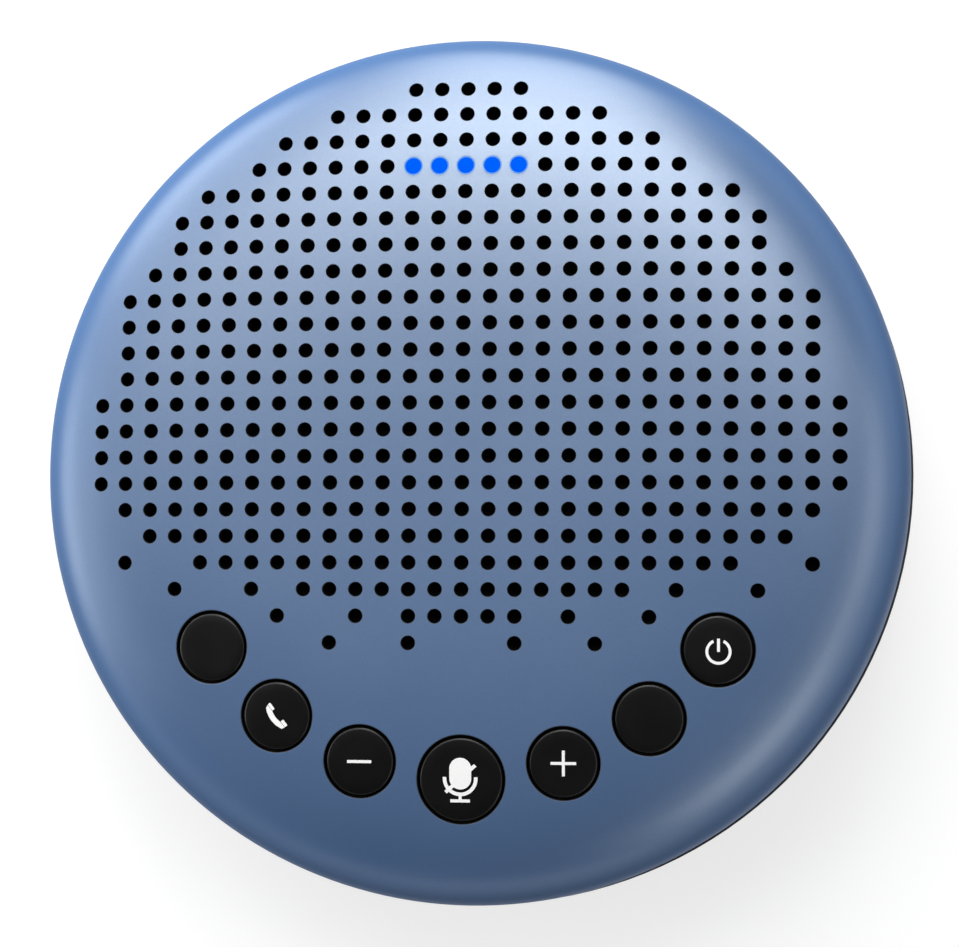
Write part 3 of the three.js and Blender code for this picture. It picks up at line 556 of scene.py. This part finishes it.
# The ink is an opaque white with little shine.
ink = moulded("White pad-printed ink", "#fafaf9", "#ffffff", 0.5, 0.2, 0.002)
signs = {
    "volume_down": bar(3.4, STROKE, -0.08, -0.03),
    "volume_up": combined(bar(3.5, STROKE), "UNION", bar(STROKE, 3.5)),
    "power": combined(arc(1.57, 0.39, 116, 424, 0.06, -0.24), "UNION", bar(0.39, 1.8, 0.06, 0.64)),
    "call": handset(),
    "mute": combined(
        capsule(3.04, 4.34, -0.09, 0.82), "UNION",
        arc(2.16, 0.50, -185.5, 5.5, -0.11, 0.14),
        bar(0.43, 0.7, -0.13, -2.46),
        bar(2.72, 0.43, -0.14, -2.91),
        bar(5.56, 0.5, -0.08, 0.12, 42),
    ),
}
for name, sign in signs.items():
    at, cap_r = caps[name]
    bmesh.ops.translate(sign, verts=sign.verts, vec=(at.x * MM, at.y * MM, 0))
    for v in sign.verts:
        printed = v.co.z > 0.5 * MM
        on_cap = outer_dome(v.co.xy.length / MM) - CAP_SUNK
        v.co.z = (on_cap + (INK_T if printed else -INK_SUNK)) * MM
    piece(f"{name}_sign", sign, [ink], f"{name}_button", "pale_plastic")


# ---- status lights --------------------------------------------------------------------
# Five blue chip LEDs on a small board shine up a clear acrylic guide, whose five round pins
# end level with the cover. The frosted ends of the pins glow.

lights = [middle(f"led_{n}") for n in (1, 2, 3, 4, 5)]
LIGHT_BLUE = "#0060ff"
PIN_R = 1.12
BAR_T = 2
guide_low, guide_high = (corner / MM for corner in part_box("light_guide"))
bar_top_z = guide_low.z + BAR_T


def glowing(name, colour, strength, roughness):
    """A body that glows: almost black by itself, and its glow a little uneven. It serves the lights
    themselves, and also paints a glow onto the lacquer round them.
    """
    material, tree, place = new_material(name)
    cloud = add(tree, "ShaderNodeTexNoise", {"Scale": 1 / (0.5 * MM), "Detail": 2}, {"Vector": place})
    glow = add(tree, "ShaderNodeMapRange", {3: strength * 0.95, 4: strength * 1.05},
               {0: cloud.outputs[0]})
    shader = add(tree, "ShaderNodeBsdfPrincipled",
                 {"Base Color": linear("#000a20"), "Emission Color": linear(colour), "Roughness": roughness,
                  "Specular IOR Level": 0},
                 {"Emission Strength": glow.outputs[0]})
    add(tree, "ShaderNodeOutputMaterial", {}, {0: shader.outputs[0]})
    return material


def clear(name, tint, ior):
    """A clear moulded plastic with faint flow marks."""
    material, tree, place = new_material(name)
    flow = add(tree, "ShaderNodeTexNoise", {"Scale": 1 / (3 * MM), "Detail": 3}, {"Vector": place})
    gloss = add(tree, "ShaderNodeMapRange", {3: 0.04, 4: 0.14}, {0: flow.outputs[0]})
    shader = add(tree, "ShaderNodeBsdfPrincipled",
                 {"Base Color": linear(tint), "IOR": ior, "Transmission Weight": 1},
                 {"Roughness": gloss.outputs[0]})
    add(tree, "ShaderNodeOutputMaterial", {}, {0: shader.outputs[0]})
    return material


# Acrylic is glass-clear with polished faces. Where light leaves it, it looks evenly blue.
acrylic = clear("Clear acrylic", "#e4eefc", 1.49)
lit_end = glowing("Frosted acrylic, lit blue", LIGHT_BLUE, 1, 0.5)
lit_resin = glowing("Chip LED resin, lit blue", LIGHT_BLUE, 1.5, 0.4)
dress(lit_resin, *[f"led_{n}" for n in (1, 2, 3, 4, 5)])

guide = block((guide_low.x, guide_low.y, guide_low.z), (guide_high.x, guide_high.y, bar_top_z), 1, 2)
pins = []
for at in lights:
    end_z = outer_dome(at.xy.length) + 0.02
    pins.append(lathe([(0, guide_low.z + 1), (PIN_R, guide_low.z + 1), (PIN_R, end_z - 0.12),
                       (PIN_R - 0.04, end_z - 0.03), (PIN_R - 0.14, end_z), (0, end_z + 0.03)], 40, at))
guide = combined(guide, "UNION", *pins)
for face in guide.faces:
    if face.calc_center_median().z > (outer_dome(lights[0].xy.length) - 0.4) * MM:
        face.material_index = 1
piece("light_guide_bar", guide, [acrylic, lit_end], "casing", "clear_acrylic", "light_guide")


# ---- microphones ----------------------------------------------------------------------
# Three MEMS microphones in nickel-plated cans, each sealed to the plate by a rubber boot under
# a hole of the field.

for n in (1, 2, 3):
    dress(nickel, f"microphone_{n}")
    dress(rubber, f"microphone_boot_{n}")


# ---- grille cloth ---------------------------------------------------------------------
# A black acoustic mesh, woven of polyester yarn, bonded under the plate. It lets the sound
# through and hides what is below the holes.

def woven(name, dark, light, thread):
    """A plain weave of yarns so many mm apart, each yarn rounded and the gaps between them dark."""
    material, tree, place = new_material(name)
    across = add(tree, "ShaderNodeTexWave", {"Scale": 0.05 / (thread * MM)}, {"Vector": place},
                 wave_type="BANDS", bands_direction="X")
    along = add(tree, "ShaderNodeTexWave", {"Scale": 0.05 / (thread * MM)}, {"Vector": place},
                wave_type="BANDS", bands_direction="Y")
    yarn = add(tree, "ShaderNodeMath", {}, {0: across.outputs[1], 1: along.outputs[1]}, operation="MULTIPLY")
    bump = add(tree, "ShaderNodeBump", {"Distance": 0.05 * MM}, {"Height": yarn.outputs[0]})
    shader = add(tree, "ShaderNodeBsdfPrincipled", {"Roughness": 0.95, "Sheen Weight": 0.1}, {
        "Base Color": two_tones(tree, yarn.outputs[0], dark, light),
        "Normal": bump.outputs[0],
    })
    add(tree, "ShaderNodeOutputMaterial", {}, {0: shader.outputs[0]})
    return material


# Black yarn takes nearly all the light, so that the holes look black.
mesh_cloth = woven("Black polyester acoustic mesh", "#020202", "#0b0b0c", 0.3)
dress(mesh_cloth, "grille_cloth")


# ---- top shell --------------------------------------------------------------------------
# The cover: one ABS moulding under a satin metallic lacquer. Its dome is a plate with a field
# of round holes on a square grid, thinned out towards the keys, and it turns down over a
# rounded rim. The lacquer ends at the edges of the holes, so their walls are bare and black.

HOLE_PITCH = 3.68
HOLE_R = 0.975
FIELD_SHIFT = 0.305  # of a pitch, towards the rear
FIELD_REAR_ROW = 14
# Holes each side of the middle column, from the rear row to the front, then the single holes
FIELD_ROWS = (2, 5, 7, 8, 10, 11, 11, 12, 13, 13, 13, 13, 14, 14, 14, 14, 13, 12, 10, 6, 2)
LONE_HOLES = ((13, -4), (8, -5), (11, -5), (4, -6), (7, -6), (2, -7), (5, -7))
HOLE_MARGIN = 0.6  # least plate left between a hole and a key's opening
HOLE_EDGE = 0.07  # chamfer round a hole, where the bare plastic starts
LIGHT_HOLE_R = 1.15
LIGHT_EDGE = 0.2  # flat ring round a light, where a glow is painted onto the lacquer
LIGHT_ROW = 11
KEY_EDGE = 0.1  # rounding round a key's opening, and the plate's last band outside it
KEY_BAND = 0.15
SHELL_WALL = 2
PLATE_R = 54.3
NET_R = 54.75  # the square net ends here
RIM_START_R = 55.2
RIM_TURNS = 192
NET_CELLS = 16  # each side of the middle one
NET_CLEAR = 0.25  # least space between the net and a key's ring
CELL_LINES = (0, 0.25, 0.375, 0.5, 0.625, 0.75)  # of a pitch: the net is closer over a hole
inner_r = body_r - SHELL_WALL


def inner_dome(r):
    """Height in mm of the cover's inside, so far from the axis."""
    return WIDE_Z + (crown_z - SHELL_WALL - WIDE_Z) * (1 - (r / inner_r) ** 3) ** 0.2


def hole_place(i, j):
    return Vector((i * HOLE_PITCH, (j + FIELD_SHIFT) * HOLE_PITCH))


holes = {(i, FIELD_REAR_ROW - row) for row, half in enumerate(FIELD_ROWS) for i in range(-half, half + 1)}
holes |= {(side * i, j) for i, j in LONE_HOLES for side in (-1, 1)}


def has_room(i, j):
    """Whether a hole stays clear of the plate's edge and the keys."""
    at = hole_place(i, j)
    keys_clear = all((at - key.xy).length > cap_r + HOLE_R + HOLE_MARGIN for key, cap_r in caps.values())
    return at.length + HOLE_R <= PLATE_R and keys_clear


radius_of = {hole: HOLE_R for hole in holes if has_room(*hole)}
edge_of = dict.fromkeys(radius_of, HOLE_EDGE)
for i in (-2, -1, 0, 1, 2):
    radius_of[i, LIGHT_ROW] = LIGHT_HOLE_R
    edge_of[i, LIGHT_ROW] = LIGHT_EDGE

# A flat net of square cells, one to a pitch, whose lines lie closer over the middle of a cell
shell = bmesh.new()
lines = len(CELL_LINES) * (2 * NET_CELLS + 1)
bmesh.ops.create_grid(shell, x_segments=lines, y_segments=lines, size=lines / 2)
net = {}
for v in shell.verts:
    u, w = round(v.co.x + lines / 2), round(v.co.y + lines / 2)
    net[u, w] = v
squares = {}
for face in shell.faces:
    at = face.calc_center_median()
    squares[int(at.x + lines / 2), int(at.y + lines / 2)] = face


def line_place(n):
    """Where a line of the net lies, in pitches from the middle cell's middle."""
    cell, part = divmod(n, len(CELL_LINES))
    return cell - NET_CELLS - 0.5 + CELL_LINES[part]


for (u, w), v in net.items():
    v.co = (line_place(u) * HOLE_PITCH * MM, (line_place(w) + FIELD_SHIFT) * HOLE_PITCH * MM, 0)

# Each hole takes four by four squares away, and the edge that is left is drawn into a circle.
doomed = []
for (i, j), radius in radius_of.items():
    u, w = (len(CELL_LINES) * (n + NET_CELLS) + 1 for n in (i, j))
    doomed += [squares[u + a, w + b] for a in range(4) for b in range(4)]
    at = hole_place(i, j)
    for a in range(5):
        for b in range(5):
            if a in (0, 4) or b in (0, 4):
                v = net[u + a, w + b]
                turn = math.atan2(b - 2, a - 2)
                turn = round(turn / (math.pi / 8)) * math.pi / 8
                ring_r = radius + edge_of[i, j]
                v.co.xy = (at + Vector((math.cos(turn), math.sin(turn))) * ring_r) * MM
bmesh.ops.delete(shell, geom=doomed, context="FACES")
hole_edges = [e for e in shell.edges if e.is_boundary and e.verts[0].co.length < RIM_START_R * MM]


def ring_round(bm, at, radius, segments):
    """A circle of edges in the plate's plane."""
    made = bmesh.ops.create_circle(bm, segments=segments, radius=radius * MM,
                                   matrix=Matrix.Translation((at.x * MM, at.y * MM, 0)))["verts"]
    return list(dict.fromkeys(e for v in made for e in v.link_edges))


def open_up(bm, faces, ring, reach):
    """Takes faces away and fills what is left between their outline and a ring."""
    gone = set(faces)
    outline = [e for e in dict.fromkeys(e for f in faces for e in f.edges)
               if sum(f in gone for f in e.link_faces) == 1
               and all(v.co.length < reach * MM for v in e.verts)]
    bmesh.ops.delete(bm, geom=faces, context="FACES_KEEP_BOUNDARY")
    bmesh.ops.triangle_fill(bm, edges=outline + ring, use_beauty=True, normal=(0, 0, 1))


key_rings = []
for at, cap_r in caps.values():
    opening_r = cap_r + GAP
    band_r = opening_r + KEY_EDGE + KEY_BAND
    near = [f for f in shell.faces
            if any((v.co.xy / MM - at.xy).length < band_r + NET_CLEAR for v in f.verts)]
    ring = ring_round(shell, at, band_r, 64)
    open_up(shell, near, ring, body_r)
    key_rings.append((at, opening_r, ring))
rim = ring_round(shell, Vector((0, 0)), RIM_START_R, RIM_TURNS)
outside = [f for f in shell.faces if any(v.co.length > NET_R * MM for v in f.verts)]
open_up(shell, outside, rim, RIM_START_R - 0.01)
loose = [v for v in shell.verts if v.co.length > (RIM_START_R + 0.1) * MM]
bmesh.ops.delete(shell, geom=loose, context="VERTS")
bmesh.ops.recalc_face_normals(shell, faces=shell.faces)
if next(iter(shell.faces)).normal.z < 0:
    bmesh.ops.reverse_faces(shell, faces=shell.faces)

# The same sheet a second time is the inside; then both are bent to their domes.
twin = bmesh.ops.duplicate(shell, geom=shell.faces[:])["geom"]
inside_faces = {g for g in twin if isinstance(g, bmesh.types.BMFace)}
inside_verts = {g for g in twin if isinstance(g, bmesh.types.BMVert)}
for v in shell.verts:
    dome = inner_dome if v in inside_verts else outer_dome
    v.co.z = dome(v.co.xy.length / MM) * MM
for face in inside_faces:
    face.material_index = 1


def extended(bm, edges, move):
    """Extrudes a ring of edges; move gives each new corner its place in mm from the old one."""
    grown = bmesh.ops.extrude_edge_only(bm, edges=edges)["geom"]
    for v in grown:
        if isinstance(v, bmesh.types.BMVert):
            v.co = move(v.co / MM) * MM
    return [e for e in grown if isinstance(e, bmesh.types.BMEdge)]


def about(at, co, radius, z):
    """The point so far from an upright axis at a place, in the direction of co."""
    return Vector((*(at.xy + (co.xy - at.xy).normalized() * radius), z))


def on_outside(co):
    return Vector((co.x, co.y, outer_dome(co.xy.length)))


def drop_to_inside(co):
    return Vector((co.x, co.y, inner_dome(co.xy.length)))


def in_hole(co):
    i, j = round(co.x / HOLE_PITCH), round(co.y / HOLE_PITCH - FIELD_SHIFT)
    fall = HOLE_EDGE if edge_of[i, j] == HOLE_EDGE else 0
    return about(hole_place(i, j), co, radius_of[i, j], co.z - fall)


def hole_bottom(co):
    i, j = round(co.x / HOLE_PITCH), round(co.y / HOLE_PITCH - FIELD_SHIFT)
    return drop_to_inside(about(hole_place(i, j), co, radius_of[i, j] + edge_of[i, j], 0))


lacquered = set(shell.faces) - inside_faces
chamfers = extended(shell, hole_edges, in_hole)
extended(shell, chamfers, hole_bottom)
for at, opening_r, ring in key_rings:
    ring = extended(shell, ring, lambda co: on_outside(about(at, co, opening_r + KEY_EDGE, 0)))
    lacquered |= {f for e in ring for f in e.link_faces}
    for turn in (30, 60, 90):
        share = math.radians(turn)
        width = KEY_EDGE * (1 - math.sin(share))
        fall = KEY_EDGE * (1 - math.cos(share)) - KEY_EDGE * (1 - math.cos(share - math.pi / 6))
        ring = extended(shell, ring, lambda co: about(at, co, opening_r + width, co.z - fall))
    extended(shell, ring, lambda co: drop_to_inside(about(at, co, opening_r + KEY_EDGE + KEY_BAND, 0)))

# The rim: down the outside to the seam, and back up the inside
RIM_STEPS = 18
INNER_STEPS = 9
first_share = (1 - (RIM_START_R / body_r) ** 3) ** 0.2
inner_share = (1 - (RIM_START_R / inner_r) ** 3) ** 0.2
outside_line = []
for step in range(1, RIM_STEPS + 1):
    share = first_share * math.cos(math.pi / 2 * step / RIM_STEPS)
    outside_line.append((body_r * (1 - share ** 5) ** (1 / 3), WIDE_Z + (crown_z - WIDE_Z) * share))
outside_line += [
    (body_r, 16),
    (body_r, seam_z + 0.25),  # the edge at the seam is rounded
    (body_r - 0.07, seam_z + 0.07),
    (body_r - 0.25, seam_z),
]
inside_line = [(inner_r, seam_z), (inner_r, WIDE_Z)]
for step in range(INNER_STEPS - 1, 0, -1):
    share = inner_share * math.cos(math.pi / 2 * step / INNER_STEPS)
    inside_line.append((inner_r * (1 - share ** 5) ** (1 / 3),
                        WIDE_Z + (crown_z - SHELL_WALL - WIDE_Z) * share))
inside_line.append((RIM_START_R, inner_dome(RIM_START_R)))
for r, z in outside_line:
    rim = extended(shell, rim, lambda co: about(Vector((0, 0)), co, r, z))
    lacquered |= {f for e in rim for f in e.link_faces}
for r, z in inside_line:
    rim = extended(shell, rim, lambda co: about(Vector((0, 0)), co, r, z))
# Faces on the flat ring round each light take an emissive material: a painted glow, not light cast by the
# LEDs.
LACQUERED, BARE, PAINTED_GLOW = 0, 1, 2
for face in shell.faces:
    face.material_index = LACQUERED if face in lacquered else BARE
    at = face.calc_center_median() / MM
    from_light = min((at.xy - light.xy).length for light in lights)
    on_top = at.z > outer_dome(at.xy.length) - 0.5
    if on_top and LIGHT_HOLE_R < from_light < LIGHT_HOLE_R + LIGHT_EDGE:
        face.material_index = PAINTED_GLOW
bmesh.ops.remove_doubles(shell, verts=shell.verts, dist=1e-6)
bmesh.ops.recalc_face_normals(shell, faces=shell.faces)


def lacquer(name, pigment, flake):
    """Metallic paint: pale aluminium flakes, a third of the surface, in a blue pigmented base.
    The flakes lie flat, so that they show less and the paint goes darker at a slant."""
    material, tree, place = new_material(name)
    # Real flakes are 0.02 mm; these are drawn coarser, so that they show.
    grains = add(tree, "ShaderNodeTexNoise", {"Scale": 1 / (0.12 * MM), "Detail": 1}, {"Vector": place})
    cloud = add(tree, "ShaderNodeTexNoise", {"Scale": 1 / (14 * MM), "Detail": 3}, {"Vector": place})
    gloss = add(tree, "ShaderNodeMapRange", {3: 0.33, 4: 0.38}, {0: cloud.outputs[0]})
    bump = add(tree, "ShaderNodeBump", {"Distance": 0.002 * MM}, {"Height": grains.outputs[0]})
    base = add(tree, "ShaderNodeBsdfPrincipled", {"Roughness": 0.5, "Specular IOR Level": 0.1}, {
        "Base Color": two_tones(tree, grains.outputs[0], *pigment), "Normal": bump.outputs[0]})
    metallic = add(tree, "ShaderNodeBsdfPrincipled", {"Metallic": 1}, {
        "Base Color": two_tones(tree, cloud.outputs[0], *flake), "Roughness": gloss.outputs[0],
        "Normal": bump.outputs[0]})
    share = add(tree, "ShaderNodeMapRange", {1: 0.3, 2: 0.7, 3: 0.31, 4: 0.39}, {0: grains.outputs[0]})
    slant = add(tree, "ShaderNodeLayerWeight", {"Blend": 0.5})
    flat = add(tree, "ShaderNodeMapRange", {1: 0.08, 2: 0.8, 3: 1, 4: 0}, {0: slant.outputs["Facing"]})
    flop = add(tree, "ShaderNodeMath", {1: 2.7}, {0: flat.outputs[0]}, operation="POWER")
    shown = add(tree, "ShaderNodeMath", {}, {0: share.outputs[0], 1: flop.outputs[0]}, operation="MULTIPLY")
    both = add(tree, "ShaderNodeMixShader", {}, {
        0: shown.outputs[0], 1: base.outputs[0], 2: metallic.outputs[0]})
    add(tree, "ShaderNodeOutputMaterial", {}, {0: both.outputs[0]})
    return material


# The lacquer is satin: broad pale highlights from the flakes over a deep blue.
blue_lacquer = lacquer("Satin metallic blue lacquer", ("#426594", "#486b9a"), ("#b0b9c2", "#b6bfc8"))
# Round each light the lacquer itself glows pale blue: a painted glow standing in for the light's halo.
painted_glow_lacquer = glowing("Lacquer with a painted glow round a light", "#78b0ff", 0.85, 0.4)
bare_abs = moulded("Black ABS, bare", "#050505", "#0a0a0b", 0.6, 0.16, 0.01)
piece("top_shell_cover", shell, [blue_lacquer, bare_abs, painted_glow_lacquer], "casing",
      "satin_blue_lacquer", "top_shell")


# ---- foot and case screws ---------------------------------------------------------------
# A ring of black rubber is bonded into the groove of the tray. Inside it, four pan-head
# screws of nickel-plated steel with a cross recess sit deep in their wells.

foot = soften(lathe([(foot_in_r, 0), (foot_high.x, 0), (foot_high.x, foot_high.z),
                     (foot_in_r, foot_high.z)], 144), 0.45, 4)
piece("foot_ring_rubber", foot, [rubber], "casing", "black_rubber", "foot_ring")

HEAD_R = 2.5
HEAD_T = 1.8
POINT_LENGTH = 1.2
THREAD_PITCH = 0.9
THREAD_R = 1.3
CORE_R = 0.95
CROSS_W = 2.7
CROSS_SLOT = 0.56
CROSS_DEPTH = 1.1
for n, at in enumerate(screws, 1):
    low, high = (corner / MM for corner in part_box(f"case_screw_{n}"))
    neck = low.z + HEAD_T
    turns = int((high.z - POINT_LENGTH - neck) / THREAD_PITCH)
    thread = [(r, neck + THREAD_PITCH * (k + share)) for k in range(turns)
              for r, share in ((THREAD_R, 0.1), (CORE_R, 0.45), (CORE_R, 0.75))]
    screw = lathe([(0, low.z), (1.5, low.z), (2.2, low.z + 0.2), (HEAD_R, low.z + 0.7),
                   (HEAD_R, neck), (THREAD_R, neck), *thread, (0, high.z)], 48, at)
    cross = [block((at.x - a / 2, at.y - b / 2, low.z - 1), (at.x + a / 2, at.y + b / 2, low.z + CROSS_DEPTH))
             for a, b in ((CROSS_W, CROSS_SLOT), (CROSS_SLOT, CROSS_W))]
    screw = combined(screw, "DIFFERENCE", *cross)
    piece(f"case_screw_{n}_pan_head", screw, [nickel], "casing", "nickel_plate", f"case_screw_{n}")


# ---- studio -----------------------------------------------------------------------------
# A pale floor, soft lamps round and over the object, and the camera above its front edge.

camera = bpy.data.objects.new("Camera", bpy.data.cameras.new("Camera"))
bpy.context.scene.collection.objects.link(camera)
bpy.context.scene.camera = camera
camera.location = (0.0620, -0.0354, 0.4880)
camera.rotation_euler = [math.radians(turn) for turn in (3.69, 8.09, 0.51)]
camera.data.lens = 125
camera.data.shift_x = 0.03744
camera.data.shift_y = 0.0393
camera.data.clip_end = 20

# The floor is a wide disc of paper that sweeps up all round.
FLOOR_R = 2200
backdrop = bmesh.new()
edge = ring_round(backdrop, Vector((0, 0)), FLOOR_R, 96)
bmesh.ops.contextual_create(backdrop, geom=edge)
for r, z in ((2300, 10), (2390, 55), (2450, 145), (2480, 260), (2500, 1000)):
    edge = extended(backdrop, edge, lambda co: about(Vector((0, 0)), co, r, z))
bmesh.ops.translate(backdrop, verts=backdrop.verts, vec=(0, 0, -0.05 * MM))  # clear of the foot
bmesh.ops.recalc_face_normals(backdrop, faces=backdrop.faces)
mesh = bpy.data.meshes.new("floor")
backdrop.to_mesh(mesh)
backdrop.free()
mesh.shade_smooth()
floor = bpy.data.objects.new("floor", mesh)
bpy.context.scene.collection.objects.link(floor)
white, tree, place = new_material("White paper floor")
ray = add(tree, "ShaderNodeLightPath")
seen = add(tree, "ShaderNodeMath", {}, {0: ray.outputs["Is Camera Ray"], 1: ray.outputs["Is Glossy Ray"]},
           operation="MAXIMUM")
seen = add(tree, "ShaderNodeMath", {}, {0: seen.outputs[0], 1: ray.outputs["Is Transmission Ray"]},
           operation="MAXIMUM")
shown = add(tree, "ShaderNodeMath", {1: 0.72}, {0: seen.outputs[0]}, operation="MULTIPLY")
paper = add(tree, "ShaderNodeBsdfDiffuse", {"Color": linear("#a0a0a0")})
shine = add(tree, "ShaderNodeEmission", {}, {"Strength": shown.outputs[0]})
both = add(tree, "ShaderNodeAddShader", {}, {0: paper.outputs[0], 1: shine.outputs[0]})
add(tree, "ShaderNodeOutputMaterial", {}, {0: both.outputs[0]})
floor.data.materials.append(white)

world = bpy.data.worlds.new("Studio")
bpy.context.scene.world = world
world.use_nodes = True
tree = world.node_tree
tree.nodes.clear()
sky = add(tree, "ShaderNodeBackground", {"Strength": 0.1})
add(tree, "ShaderNodeOutputWorld", {}, {0: sky.outputs[0]})


def softbox(azimuth, elevation, watts):
    """A soft lamp a metre away that faces the object. Azimuth 0 is the front and 90 the right."""
    turn, rise = math.radians(azimuth), math.radians(elevation)
    out = Vector((math.sin(turn) * math.cos(rise), -math.cos(turn) * math.cos(rise), math.sin(rise)))
    name = f"softbox {azimuth} {elevation}"
    lamp = bpy.data.lights.new(name, "AREA")
    lamp.shape = "RECTANGLE"
    lamp.size = 0.55
    lamp.size_y = 0.4
    lamp.energy = watts
    made = bpy.data.objects.new(name, lamp)
    made.location = out
    made.rotation_euler = (-out).to_track_quat("-Z", "Y").to_euler()
    bpy.context.scene.collection.objects.link(made)


for azimuth, elevation, watts in (
        (180, 12, 4.1), (180, 35, 3.6), (180, 60, 3.3), (135, 60, 0.9), (225, 12, 4.8), (225, 35, 1.3),
        (225, 60, 1.0), (270, 12, 3.1), (270, 35, 0.8), (45, 35, 1.1), (90, 35, 0.9)):
    softbox(azimuth, elevation, watts)

bpy.context.scene.view_settings.view_transform = "Standard"
